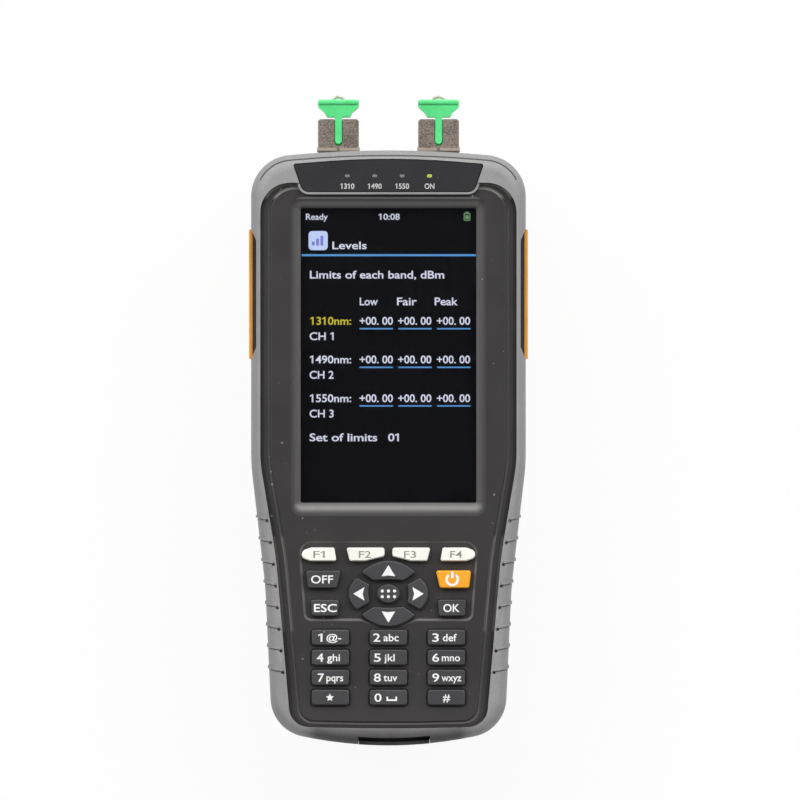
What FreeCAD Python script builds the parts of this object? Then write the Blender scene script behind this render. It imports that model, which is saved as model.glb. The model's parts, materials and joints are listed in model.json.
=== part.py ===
"""Handheld optical power meter: a two-shell tester in a rubber sleeve, with a keypad, a colour screen
and two SC fibre ports under dust caps.

Frame: X to the right, Y along the length towards the fibre ports, Z out of the screen. The origin is on
the flat back, under the middle of the housing. All sizes are millimetres.
"""
import FreeCAD, Part
import math
import os

V = FreeCAD.Vector

# Housing envelope, seen from the front
BODY_LENGTH = 180.2
UPPER_WIDTH = 83.2
GRIP_WIDTH = 74.6
LOWER_WIDTH = 70.6
TOP_CORNER_RADIUS = 12.5
BOTTOM_CORNER_RADIUS = 12.0
TOP_CROWN_RISE = 1.2
TOP_SHOULDER_DROP = 2.45
BOTTOM_CROWN_RISE = 2.6
BOTTOM_SHOULDER_DROP = 4.6
TAPER_START_BELOW_MIDDLE = 5.0
TAPER_END_BELOW_MIDDLE = 42.0
TAPER_START_RADIUS = 60.0
TAPER_END_RADIUS = 120.0

# Housing depth, from the back face up
SLEEVE_BACK_Z = 6.0
PARTING_Z = 16.0
LIP_UNDERSIDE_Z = 41.5
PANEL_Z = 43.4
SLEEVE_FRONT_Z = 44.8

# Rubber sleeve
SLEEVE_WALL = 2.4
SLEEVE_FRONT_ROUND = 4.5
SLEEVE_BACK_ROUND = 2.0
RIB_COUNT = 8
RIB_PITCH = 6.43
RIB_FIRST_BELOW_MIDDLE = 21.6
RIB_THICKNESS = 0.7
RIB_PROUD = 0.35
RIB_SLANT_DEG = 10.0
RIB_BOTTOM_Z = 11.0
RIB_INSET = 0.9
RIB_SLIT_WIDTH = 0.35
RIB_SLIT_DEPTH = 0.35
RIB_PIT_RADIUS = 0.5
RIB_PIT_DEPTH = 0.9
CREASE_INSET = 1.5
CREASE_WIDTH = 0.4
CREASE_DEPTH = 1.45
CREASE_LENGTH = 9.0

# Rims of the sleeve around the black front panel
SIDE_RIM = 2.85
GRIP_RIM = 3.3
LOWER_RIM = 5.7
TOP_RIM = 9.9
BOTTOM_RIM = 5.3
PANEL_TOP_RADIUS = 9.0
PANEL_BOTTOM_RADIUS = 6.0
PANEL_TAPER_START_BELOW_MIDDLE = 4.5
PANEL_KNEE_BELOW_MIDDLE = 33.0
PANEL_TAPER_START_RADIUS = 40.0
PANEL_TAPER_END_RADIUS = 150.0
PANEL_BOTTOM_CROWN_RISE = 0.25
PANEL_BOTTOM_SHOULDER_DROP = 0.5
PANEL_EDGE_WIDTH = 1.0
PANEL_EDGE_DROP = 0.25
PANEL_GROOVE_SIDE_INSET = 2.9
PANEL_GROOVE_END_INSET = 1.55
PANEL_GROOVE_HALF_WIDTH = 0.5
PANEL_GROOVE_DEPTH = 0.35

# Walls and clearances
COVER_WALL = 2.5
FACE_WALL = 2.2
FIT_GAP = 0.1
KEY_GAP = 0.15
RUNNING_GAP = 0.05
SEAT_GAP = 0.2

# Side pads: a black land on the front cover carries an orange strip through a notch in the sleeve
PAD_LENGTH = 39.5
PAD_MIDDLE_Y = 46.6
PAD_Z_LOW = 19.0
PAD_Z_HIGH = 33.0
PAD_THICKNESS = 1.1
PAD_PROUD = 0.8
PAD_EDGE_ROUND = 0.6
NOTCH_DEPTH = 1.6
NOTCH_SLANT = 3.6
LAND_SHORTER_BY = 1.2

# Indicator plate above the screen
PLATE_TOP_WIDTH = 57.6
PLATE_BOTTOM_WIDTH = 51.8
PLATE_TOP_MARGIN = 2.75
PLATE_HEIGHT = 9.9
PLATE_SHOULDER_DROP = 1.5
PLATE_THICKNESS = 0.9
PLATE_BOTTOM_RADIUS = 2.6
PLATE_TOP_CORNER_RADIUS = 0.6
PLATE_CROWN_RISE = 0.75
PLATE_FRAME_WIDTH = 0.65
INDICATOR_PITCH = 8.28
INDICATOR_COUNT = 4
INDICATOR_BELOW_TOP = 7.8
INDICATOR_WIDTH = 1.5
INDICATOR_HEIGHT = 0.9

# Screen
BEZEL_WIDTH = 59.2
BEZEL_LENGTH = 96.8
BEZEL_TOP_MARGIN = 13.9
BEZEL_CORNER_RADIUS = 3.4
BEZEL_ROLL_DROP = 0.5
BEZEL_ROLL_SHARE = 0.45
SCREEN_WIDTH = 53.2
SCREEN_LENGTH = 89.2
SCREEN_TOP_INSET = 3.6
SCREEN_CORNER_RADIUS = 0.6
WINDOW_MARGIN = 2.0
WINDOW_THICKNESS = 1.5
GASKET_THICKNESS = 0.5
GASKET_WIDTH = 1.6
LCD_MARGIN = 1.8
LCD_THICKNESS = 3.0

# Keys
KEY_PROUD = 1.0
KEY_EDGE = 0.35
KEY_SEAT_BELOW_FACE = 1.2
KEY_MOUTH_WIDTH = 0.35
KEY_MOUTH_DEPTH = 0.2
NUMBER_PITCH_X = 17.55
NUMBER_PITCH_Y = 6.05
NUMBER_KEY_WIDTH = 11.3
NUMBER_KEY_HEIGHT = 4.7
NUMBER_KEY_RADIUS = 0.9
NUMBER_COLUMNS = 3
NUMBER_ROWS = 4
LOWEST_ROW_ABOVE_PANEL_BOTTOM = 9.3
FUNCTION_ABOVE_LOWEST_ROW = 43.3
FUNCTION_KEY_HEIGHT = 4.05
COMMAND_UPPER_ABOVE_LOWEST_ROW = 35.75
COMMAND_UPPER_HEIGHT = 5.3
COMMAND_LOWER_ABOVE_LOWEST_ROW = 27.1
COMMAND_LOWER_HEIGHT = 5.0
CURSOR_ABOVE_LOWEST_ROW = 31.4

# Shallow pocket round the function and cursor keys
POCKET_TOP_HALF_WIDTH = 27.4
POCKET_BOTTOM_HALF_WIDTH = 25.6
POCKET_TOP_ABOVE_LOWEST_ROW = 47.5
POCKET_BOTTOM_ABOVE_LOWEST_ROW = 23.1
POCKET_DIP_HALF_WIDTH = 8.4
POCKET_DIP_DEPTH = 3.4
POCKET_TOP_RADIUS = 4.0
POCKET_BOTTOM_RADIUS = 2.4
POCKET_DIP_RADIUS = 17.0
POCKET_SLOPE_WIDTH = 0.8
POCKET_DEPTH = 0.5

# Boards and what they carry
BOARD_THICKNESS = 1.6
BOARD_HALF_WIDTH = 29.0
BOARD_LOWER_HALF_WIDTH = 22.5
BOARD_TOP_MARGIN = 6.9
BOARD_BOTTOM_MARGIN = 11.1
MAT_THICKNESS = 1.0
MAT_UPPER_HALF_WIDTH = 23.6
MAT_LOWER_HALF_WIDTH = 21.9
DOME_BASE_RADIUS = 2.2
DOME_TOP_RADIUS = 1.5
BUZZER_RADIUS = 6.0
BUZZER_HEIGHT = 4.0

# Fasteners
CASE_SCREW_RADIUS = 1.25
CASE_SCREW_HEAD_RADIUS = 2.4
CASE_SCREW_HEAD_HEIGHT = 1.8
CASE_SCREW_LENGTH = 14.0
CASE_SCREW_SINK = 6.0
CASE_BOSS_RADIUS = 3.0
CASE_BOSS_GAP = 0.6
CASE_BOSS_BELOW_TOP = 17.5
CASE_BOSS_ABOVE_BOTTOM = 14.6
BOARD_SCREW_RADIUS = 0.9
BOARD_SCREW_HEAD_RADIUS = 1.8
BOARD_SCREW_HEAD_HEIGHT = 1.3
BOARD_SCREW_LENGTH = 3.6
BOARD_BOSS_RADIUS = 2.2
DOOR_SCREW_RADIUS = 0.9
DOOR_SCREW_HEAD_RADIUS = 1.7
DOOR_SCREW_HEAD_HEIGHT = 1.0
DOOR_SCREW_LENGTH = 3.2

# Rear cover, battery and its door
REAR_ROUND = 5.5
REAR_WALL = 2.5
DOOR_WIDTH = 54.0
DOOR_LENGTH = 68.0
DOOR_MIDDLE_Y = -38.0
DOOR_RADIUS = 4.0
DOOR_INNER_RADIUS = 1.2
DOOR_THICKNESS = 2.2
DOOR_SINK = 0.3
DOOR_LEDGE = 4.0
LEDGE_THICKNESS = 2.2
DOOR_SCREW_HALF_PITCH = 14.0
FINGER_NOTCH_WIDTH = 16.0
FINGER_NOTCH_DEPTH = 0.8
BATTERY_GAP = 0.6
BATTERY_HEIGHT = 17.0
SEAL_WIDTH = 1.0
SEAL_HEIGHT = 1.0
SEAL_INSET = 0.7

# SC fibre ports and their dust caps
PORT_HALF_PITCH = 15.25
PORT_Z = 24.0
ADAPTER_WIDTH = 12.4
ADAPTER_HEIGHT = 9.3
ADAPTER_MOUTH_ABOVE_TOP = 9.9
ADAPTER_INNER_LENGTH = 13.1
ADAPTER_EDGE = 0.6
ADAPTER_COLLAR_WIDTH = 13.0
ADAPTER_COLLAR_PROUD = 0.9
ADAPTER_COLLAR_LENGTH = 1.2
ADAPTER_COLLAR_SPLIT = 1.0
FLANGE_WIDTH = 18.0
FLANGE_HEIGHT = 13.0
FLANGE_THICKNESS = 2.0
FLANGE_BELOW_TOP = 6.6
SOCKET_WIDTH = 9.0
SOCKET_HEIGHT = 7.4
SOCKET_DEPTH = 14.0
KEYWAY_WIDTH = 2.6
KEYWAY_LENGTH = 8.2
FERRULE_RADIUS = 1.25
FERRULE_SLEEVE_RADIUS = 1.6
FERRULE_SLEEVE_LENGTH = 14.0
FERRULE_SLEEVE_REACH = 8.0
LIGHT_PATH_RADIUS = 0.9
CAP_GAP = 0.15
CAP_WALL = 1.0
CAP_INSERTION = 11.6
CAP_HOLLOW_DEPTH = 8.0
CAP_COLLAR_GAP = 0.7
CAP_WEB_HEIGHT = 3.55
CAP_WEB_BOTTOM_WIDTH = 7.1
CAP_BAR_WIDTH = 12.5
CAP_BAR_THICKNESS = 1.7
CAP_BAR_PROUD = 0.45
CAP_BAR_ROUND = 0.7
CAP_KEY_WIDTH = 2.1
CAP_KEY_END_GAP = 0.7
EYELET_ARCH_RADIUS = 2.3
EYELET_WIRE_RADIUS = 0.45
EYELET_PROUD = 1.35
EYELET_SPAN_DEG = 160.0

# Optical head behind the ports
HEAD_WIDTH = 50.0
HEAD_LENGTH = 11.0
HEAD_BOTTOM_Z = 16.6
DETECTOR_RADIUS = 2.4
DETECTOR_LENGTH = 4.0

# Bottom end: hinged port cover, charging and data sockets
COVER_WIDTH = 21.4
COVER_MIDDLE_X = 1.7
COVER_SIDE_GAP = 0.15
COVER_TOP_Z = 41.0
COVER_LIP_THICKNESS = 1.1
COVER_LIP_HEIGHT = 2.5
COVER_FOOT_Z = 15.2
COVER_WALL_GAP = 0.15
HINGE_Z = 12.5
PIN_RADIUS = 0.6
KNUCKLE_RADIUS = 1.1
KNUCKLE_WIDTH = 14.0
LUG_WIDTH = 2.5
LUG_SIDE_GAP = 0.25
SOCKET_HALF_PITCH = 4.7
USB_WIDTH = 7.6
USB_HEIGHT = 4.0
USB_LENGTH = 9.0
USB_SHELL = 0.4
USB_TONGUE_THICKNESS = 0.8
JACK_WIDTH = 8.6
JACK_HEIGHT = 10.6
JACK_LENGTH = 13.0
JACK_BORE_RADIUS = 2.9
JACK_PIN_RADIUS = 1.0
JACK_DEPTH = 9.0
CUT_MARGIN = 1.0

# Places worked out from the sizes above
TOP_Y = BODY_LENGTH / 2
BOTTOM_Y = -BODY_LENGTH / 2
UPPER_HALF = UPPER_WIDTH / 2
GRIP_HALF = GRIP_WIDTH / 2
LOWER_HALF = LOWER_WIDTH / 2
PANEL_TOP_Y = TOP_Y - TOP_RIM
PANEL_BOTTOM_Y = BOTTOM_Y + BOTTOM_RIM
FACE_INNER_Z = PANEL_Z - FACE_WALL
SHOULDER_Z = LIP_UNDERSIDE_Z - FIT_GAP
CAVITY_TOP_Z = SHOULDER_Z - COVER_WALL
COVER_INSET = SLEEVE_WALL + FIT_GAP
LOWEST_ROW_Y = PANEL_BOTTOM_Y + LOWEST_ROW_ABOVE_PANEL_BOTTOM
FUNCTION_Y = LOWEST_ROW_Y + FUNCTION_ABOVE_LOWEST_ROW
CURSOR_Y = LOWEST_ROW_Y + CURSOR_ABOVE_LOWEST_ROW
COMMAND_UPPER_Y = LOWEST_ROW_Y + COMMAND_UPPER_ABOVE_LOWEST_ROW
COMMAND_LOWER_Y = LOWEST_ROW_Y + COMMAND_LOWER_ABOVE_LOWEST_ROW
KEY_SEAT_Z = FACE_INNER_Z - KEY_SEAT_BELOW_FACE
KEY_TOP_Z = PANEL_Z + KEY_PROUD
BEZEL_TOP_Y = TOP_Y - BEZEL_TOP_MARGIN
BEZEL_MIDDLE_Y = BEZEL_TOP_Y - BEZEL_LENGTH / 2
SCREEN_MIDDLE_Y = BEZEL_TOP_Y - SCREEN_TOP_INSET - SCREEN_LENGTH / 2
WINDOW_BACK_Z = FACE_INNER_Z - WINDOW_THICKNESS
LCD_FRONT_Z = WINDOW_BACK_Z - GASKET_THICKNESS
LCD_BACK_Z = LCD_FRONT_Z - LCD_THICKNESS
BOARD_FRONT_Z = LCD_BACK_Z - SEAT_GAP
BOARD_BACK_Z = BOARD_FRONT_Z - BOARD_THICKNESS
MAT_TOP_Z = BOARD_FRONT_Z + MAT_THICKNESS
LAND_FACE_X = UPPER_HALF + PAD_PROUD - PAD_THICKNESS
ADAPTER_MOUTH_Y = TOP_Y + ADAPTER_MOUTH_ABOVE_TOP
ADAPTER_INNER_Y = TOP_Y - ADAPTER_INNER_LENGTH
SOCKET_FLOOR_Y = ADAPTER_MOUTH_Y - SOCKET_DEPTH
SLEEVE_TUBE_TOP_Y = SOCKET_FLOOR_Y + FERRULE_SLEEVE_REACH
SLEEVE_TUBE_FOOT_Y = SLEEVE_TUBE_TOP_Y - FERRULE_SLEEVE_LENGTH
COLLAR_Y = ADAPTER_MOUTH_Y + CAP_COLLAR_GAP
CAP_BAR_Y = COLLAR_Y + CAP_WEB_HEIGHT
CAP_TOP_Y = CAP_BAR_Y + CAP_BAR_THICKNESS
CAP_WEB_DEPTH = ADAPTER_HEIGHT - 2 * CAP_GAP
PIN_Y = BOTTOM_Y + SLEEVE_WALL - KNUCKLE_RADIUS - COVER_WALL_GAP
USB_X = COVER_MIDDLE_X - SOCKET_HALF_PITCH
JACK_X = COVER_MIDDLE_X + SOCKET_HALF_PITCH
DOOR_INNER_Z = DOOR_SINK + DOOR_THICKNESS
NUMBER_BLOCK_HALF = (NUMBER_COLUMNS - 1) / 2 * NUMBER_PITCH_X + NUMBER_KEY_WIDTH / 2
UPPER_BOSS_X = BOARD_HALF_WIDTH + CASE_BOSS_GAP + CASE_BOSS_RADIUS
LOWER_BOSS_X = max(BOARD_LOWER_HALF_WIDTH, NUMBER_BLOCK_HALF + KEY_GAP) + CASE_BOSS_GAP + CASE_BOSS_RADIUS
CASE_BOSSES = [
    (UPPER_BOSS_X, TOP_Y - CASE_BOSS_BELOW_TOP),
    (UPPER_BOSS_X, 0.0),
    (LOWER_BOSS_X, BOTTOM_Y + CASE_BOSS_ABOVE_BOTTOM),
]
BOARD_BOSSES = [
    (24.0, TOP_Y - 10.6),
    (23.5, FUNCTION_Y + 6.7),
    (NUMBER_PITCH_X / 2, LOWEST_ROW_Y + 1.5 * NUMBER_PITCH_Y),
]


def rounded_wire(corners, z=0.0):
    """Closed flat wire of straight runs, with each corner (x, y, radius) rounded by a tangent arc."""
    arcs = []
    count = len(corners)
    for i, (x, y, radius) in enumerate(corners):
        here = V(x, y, z)
        back = (V(*corners[i - 1][:2], z) - here).normalize()
        ahead = (V(*corners[(i + 1) % count][:2], z) - here).normalize()
        half_angle = back.getAngle(ahead) / 2
        inward = (back + ahead).normalize()
        reach = radius / math.tan(half_angle)
        middle = here + inward * (radius / math.sin(half_angle) - radius)
        arcs.append((here + back * reach, middle, here + ahead * reach))
    edges = []
    for i, (start, middle, end) in enumerate(arcs):
        edges.append(Part.Arc(start, middle, end).toShape())
        following = arcs[(i + 1) % count][0]
        if (following - end).Length > 1e-6:
            edges.append(Part.LineSegment(end, following).toShape())
    return Part.Wire(edges)


def mirrored(half):
    """Whole outline from its right half, listed from the top down."""
    return half + [(-x, y, r) for x, y, r in reversed(half) if x > 0]


def crown_radius(rise, drop, half_width):
    """Radius of a crown whose tangents meet at rise above it and fall to drop below it at half_width."""
    slope = math.atan((rise + drop) / half_width)
    return rise / (1 / math.cos(slope) - 1)


def rectangle(width, height, radius, x=0.0, y=0.0):
    """Corners of a rounded rectangle about (x, y)."""
    right, top = width / 2, height / 2
    return [(x + a * right, y + b * top, radius) for a, b in ((1, 1), (1, -1), (-1, -1), (-1, 1))]


def flipped(corners):
    """The same outline on the other side of the middle."""
    return [(-x, y, r) for x, y, r in reversed(corners)]


def grown(wire, distance):
    """A flat wire offset outwards, or inwards where distance is negative."""
    return wire.makeOffset2D(distance)


def prism(wire, low, high):
    """Solid over a flat wire, from the height low to the height high."""
    solid = Part.Face(wire).extrude(V(0, 0, high - low))
    solid.translate(V(0, 0, low))
    return solid


def block(x, y, z):
    """Box from three (low, high) pairs."""
    corner = V(x[0], y[0], z[0])
    return Part.makeBox(x[1] - x[0], y[1] - y[0], z[1] - z[0], corner)


def rod(radius, length, start, direction=V(0, 0, 1)):
    """Cylinder from a start point along a direction."""
    return Part.makeCylinder(radius, length, start, direction)


def flat_edges(solid, z):
    """Edges of a solid that lie wholly at one height."""
    return [e for e in solid.Edges if abs(e.BoundBox.ZMin - z) < 1e-6 and abs(e.BoundBox.ZMax - z) < 1e-6]


def both_sides(places):
    """Each place on the right and its mirror image on the left."""
    return [(side * x, y) for x, y in places for side in (1, -1)]


def outer_outline():
    top_radius = crown_radius(TOP_CROWN_RISE, TOP_SHOULDER_DROP, UPPER_HALF)
    bottom_radius = crown_radius(BOTTOM_CROWN_RISE, BOTTOM_SHOULDER_DROP, LOWER_HALF)
    return rounded_wire(mirrored([
        (0.0, TOP_Y + TOP_CROWN_RISE, top_radius),
        (UPPER_HALF, TOP_Y - TOP_SHOULDER_DROP, TOP_CORNER_RADIUS),
        (UPPER_HALF, -TAPER_START_BELOW_MIDDLE, TAPER_START_RADIUS),
        (GRIP_HALF, -TAPER_END_BELOW_MIDDLE, TAPER_END_RADIUS),
        (LOWER_HALF, BOTTOM_Y + BOTTOM_SHOULDER_DROP, BOTTOM_CORNER_RADIUS),
        (0.0, BOTTOM_Y - BOTTOM_CROWN_RISE, bottom_radius),
    ]))


def panel_outline(side=0.0, end=0.0, z=0.0):
    """Outline of the black panel, drawn in from its flanks by side and from its two ends by end."""
    upper = UPPER_HALF - SIDE_RIM - side
    lower = LOWER_HALF - LOWER_RIM - side
    bottom = PANEL_BOTTOM_Y + end
    crown = crown_radius(PANEL_BOTTOM_CROWN_RISE, PANEL_BOTTOM_SHOULDER_DROP, lower)
    return rounded_wire(mirrored([
        (upper, PANEL_TOP_Y - end, PANEL_TOP_RADIUS - end),
        (upper, -PANEL_TAPER_START_BELOW_MIDDLE, PANEL_TAPER_START_RADIUS),
        (GRIP_HALF - GRIP_RIM - side, -PANEL_KNEE_BELOW_MIDDLE, PANEL_TAPER_END_RADIUS),
        (lower, bottom + PANEL_BOTTOM_SHOULDER_DROP, PANEL_BOTTOM_RADIUS - end),
        (0.0, bottom - PANEL_BOTTOM_CROWN_RISE, crown),
    ]), z)


def plate_outline():
    top = TOP_Y - PLATE_TOP_MARGIN
    half = PLATE_TOP_WIDTH / 2
    crown = crown_radius(PLATE_CROWN_RISE, PLATE_SHOULDER_DROP, half)
    return rounded_wire(mirrored([
        (0.0, top + PLATE_CROWN_RISE, crown),
        (half, top - PLATE_SHOULDER_DROP, PLATE_TOP_CORNER_RADIUS),
        (PLATE_BOTTOM_WIDTH / 2, top - PLATE_HEIGHT, PLATE_BOTTOM_RADIUS),
    ]))


OUTER = outer_outline()
PANEL = panel_outline()
PLATE = plate_outline()


def function_key_outlines():
    """White keys: bullet-ended outer pair, and an inner pair cut back beside the cursor keys."""
    top = FUNCTION_Y + FUNCTION_KEY_HEIGHT / 2
    bottom = FUNCTION_Y - FUNCTION_KEY_HEIGHT / 2
    outer = [
        (16.4, top, 0.6),
        (23.6, top, 2.4),
        (29.0, FUNCTION_Y - 0.1, 1.5),
        (23.6, bottom, 2.4),
        (15.7, bottom, 0.6),
    ]
    inner = [
        (1.2, top, 0.8),
        (12.7, top, 0.6),
        (11.7, bottom, 0.6),
        (7.0, bottom, 1.0),
        (1.2, bottom + 1.4, 0.8),
    ]
    return {"key_f1": flipped(outer), "key_f2": flipped(inner), "key_f3": inner, "key_f4": outer}


def command_key_outlines():
    """Four keys beside the cursor pad, each a little narrower at its foot."""
    def wedge(inner, outer, inner_foot, outer_foot, middle, height):
        top, bottom = middle + height / 2, middle - height / 2
        return [(inner, top, 0.7), (outer, top, 0.7), (outer_foot, bottom, 0.8), (inner_foot, bottom, 0.8)]

    upper = wedge(14.3, 25.0, 15.6, 24.4, COMMAND_UPPER_Y, COMMAND_UPPER_HEIGHT)
    lower = wedge(14.9, 23.5, 15.3, 23.2, COMMAND_LOWER_Y, COMMAND_LOWER_HEIGHT)
    return {"key_off": flipped(upper), "key_power": upper, "key_esc": flipped(lower), "key_ok": lower}


def cursor_key_outlines():
    """Four cursor keys round an oval menu key."""
    def about_cursor(corners):
        return [(x, CURSOR_Y + y, r) for x, y, r in corners]

    up = [(0.0, 12.6, 11.0), (8.3, 6.5, 0.6), (4.6, 3.95, 0.6)]
    up += [(0.0, 4.3, 24.0), (-4.6, 3.95, 0.6), (-8.3, 6.5, 0.6)]
    down = [(x, -y, r) for x, y, r in reversed(up)]
    right = [(5.7, 2.7, 0.6), (9.6, 4.9, 0.8), (13.8, 0.0, 5.6)]
    right += [(9.6, -4.9, 0.8), (5.7, -2.7, 0.6), (6.2, 0.0, 9.0)]
    menu = [(0.0, 4.0, 3.9), (4.9, 0.0, 2.5), (0.0, -4.0, 3.9), (-4.9, 0.0, 2.5)]
    shapes = {"key_up": up, "key_down": down, "key_right": right, "key_left": flipped(right)}
    shapes["key_menu"] = menu
    return {name: about_cursor(corners) for name, corners in shapes.items()}


def number_key_outlines():
    """Telephone block, named row by row from the top left."""
    labels = ["1", "2", "3", "4", "5", "6", "7", "8", "9", "star", "0", "hash"]
    keys = {}
    for i, label in enumerate(labels):
        row, column = divmod(i, NUMBER_COLUMNS)
        x = (column - (NUMBER_COLUMNS - 1) / 2) * NUMBER_PITCH_X
        y = LOWEST_ROW_Y + (NUMBER_ROWS - 1 - row) * NUMBER_PITCH_Y
        keys["key_" + label] = rectangle(NUMBER_KEY_WIDTH, NUMBER_KEY_HEIGHT, NUMBER_KEY_RADIUS, x, y)
    return keys


KEY_OUTLINES = {
    name: rounded_wire(corners)
    for group in (function_key_outlines, command_key_outlines, cursor_key_outlines, number_key_outlines)
    for name, corners in group().items()
}


def key_middle(name):
    """Where a key presses on its dome."""
    centre = Part.Face(KEY_OUTLINES[name]).CenterOfMass
    return centre.x, centre.y


def key(name):
    cap = prism(KEY_OUTLINES[name], KEY_SEAT_Z, KEY_TOP_Z)
    return cap.makeChamfer(KEY_EDGE, flat_edges(cap, KEY_TOP_Z))


def rib_slabs(low_y, high_y):
    """Slanted slices of one thickness, a pair at each grip rib."""
    slabs = []
    for i in range(RIB_COUNT):
        y = -RIB_FIRST_BELOW_MIDDLE - i * RIB_PITCH
        for side in (1, -1):
            x = sorted((0.0, side * UPPER_WIDTH))
            slab = block(x, (low_y, high_y), (RIB_BOTTOM_Z, SLEEVE_FRONT_Z + CUT_MARGIN))
            slab.rotate(V(side * LOWER_HALF, 0, 0), V(0, 0, 1), side * RIB_SLANT_DEG)
            slab.translate(V(0, y, 0))
            slabs.append(slab)
    return slabs


def sleeve_skin(proud, front_z):
    """Outer form of the sleeve, standing proud of it or inside it, without its back rounding."""
    skin = prism(grown(OUTER, proud), SLEEVE_BACK_Z, front_z)
    return skin.makeFillet(SLEEVE_FRONT_ROUND + min(proud, 0.0), flat_edges(skin, front_z))


def inside_rim():
    """Everything inside the line where the grip ribs end, beside the panel."""
    return prism(grown(PANEL, RIB_INSET), SLEEVE_BACK_Z - CUT_MARGIN, SLEEVE_FRONT_Z + CUT_MARGIN)


def grip_ribs():
    """Beads that wrap over the edge of the sleeve on both flanks."""
    skin = sleeve_skin(RIB_PROUD, SLEEVE_FRONT_Z + RIB_PROUD / 2).cut(inside_rim())
    return [skin.common(slab) for slab in rib_slabs(-RIB_THICKNESS / 2, RIB_THICKNESS / 2)]


def rib_slits():
    """Narrow slit along the lower side of each grip rib."""
    keep = sleeve_skin(-RIB_SLIT_DEPTH, SLEEVE_FRONT_Z - RIB_SLIT_DEPTH).fuse(inside_rim())
    foot = -RIB_THICKNESS / 2
    return [slab.cut(keep) for slab in rib_slabs(foot - RIB_SLIT_WIDTH, foot)]


def slit_pits(slits):
    """Round pit at the inner end of each slit."""
    ends = [min(slit.Vertexes, key=lambda vertex: abs(vertex.X)) for slit in slits]
    low = SLEEVE_FRONT_Z - RIB_PIT_DEPTH
    return [rod(RIB_PIT_RADIUS, RIB_PIT_DEPTH + CUT_MARGIN, V(end.X, end.Y, low)) for end in ends]


def top_crease():
    """Fine crease that follows the edge of the sleeve round its top end."""
    low = SLEEVE_FRONT_Z - CREASE_DEPTH
    high = SLEEVE_FRONT_Z + CUT_MARGIN
    ring = prism(grown(OUTER, -CREASE_INSET), low, high)
    ring = ring.cut(prism(grown(OUTER, -CREASE_INSET - CREASE_WIDTH), low - CUT_MARGIN, high + CUT_MARGIN))
    return ring.common(block((-UPPER_HALF, UPPER_HALF), (TOP_Y - CREASE_LENGTH, TOP_Y), (low, high)))


def side_notch(side):
    """Room in the sleeve for a side pad: a slant-ended notch over the front, and a pocket for the land."""
    inner = UPPER_HALF - NOTCH_DEPTH
    past = UPPER_HALF + CUT_MARGIN + PAD_PROUD
    half = PAD_LENGTH / 2
    notch = Part.makePolygon([
        V(inner, PAD_MIDDLE_Y - half + NOTCH_SLANT, 0),
        V(past, PAD_MIDDLE_Y - half - NOTCH_SLANT * (past - UPPER_HALF) / NOTCH_DEPTH, 0),
        V(past, PAD_MIDDLE_Y + half + NOTCH_SLANT * (past - UPPER_HALF) / NOTCH_DEPTH, 0),
        V(inner, PAD_MIDDLE_Y + half - NOTCH_SLANT, 0),
        V(inner, PAD_MIDDLE_Y - half + NOTCH_SLANT, 0),
    ])
    cut = prism(notch, PAD_Z_LOW - FIT_GAP, SLEEVE_FRONT_Z + CUT_MARGIN)
    pocket = block(
        (UPPER_HALF - COVER_INSET - CUT_MARGIN, past),
        (PAD_MIDDLE_Y - half - FIT_GAP, PAD_MIDDLE_Y + half + FIT_GAP),
        (PAD_Z_LOW - FIT_GAP, PAD_Z_HIGH + FIT_GAP),
    )
    both = cut.fuse(pocket)
    return both if side > 0 else both.mirror(V(0, 0, 0), V(1, 0, 0))


def port_opening(gap):
    """The two holes that the fibre ports pass through, in the sleeve and in the cover."""
    half_width = ADAPTER_WIDTH / 2 + gap
    half_height = ADAPTER_HEIGHT / 2 + gap
    reach = (TOP_Y - ADAPTER_INNER_LENGTH, TOP_Y + CUT_MARGIN)
    holes = [
        block((x - half_width, x + half_width), reach, (PORT_Z - half_height, PORT_Z + half_height))
        for x in (PORT_HALF_PITCH, -PORT_HALF_PITCH)
    ]
    return holes[0].fuse(holes[1])


def indicator_places():
    first = -(INDICATOR_COUNT - 1) / 2 * INDICATOR_PITCH
    y = TOP_Y - INDICATOR_BELOW_TOP
    return [(first + i * INDICATOR_PITCH, y) for i in range(INDICATOR_COUNT)]


def indicator_bars(gap, low, high):
    """Upright bars of the indicator lights, or with a gap the holes that they stand in."""
    radius = INDICATOR_HEIGHT * 0.45 + gap
    width, height = INDICATOR_WIDTH + 2 * gap, INDICATOR_HEIGHT + 2 * gap
    wires = [rounded_wire(rectangle(width, height, radius, x, y)) for x, y in indicator_places()]
    return [prism(wire, low, high) for wire in wires]


def cover_notch():
    """Room in the bottom wall of the sleeve for the port cover, as deep as the wall."""
    half = COVER_WIDTH / 2 + COVER_SIDE_GAP
    high = SLEEVE_FRONT_Z + CUT_MARGIN
    room = block(
        (COVER_MIDDLE_X - half, COVER_MIDDLE_X + half),
        (BOTTOM_Y - CUT_MARGIN, BOTTOM_Y + 2 * SLEEVE_WALL),
        (HINGE_Z - KNUCKLE_RADIUS - COVER_SIDE_GAP, high),
    )
    return room.cut(prism(grown(OUTER, -SLEEVE_WALL), SLEEVE_BACK_Z, high + CUT_MARGIN))


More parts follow.
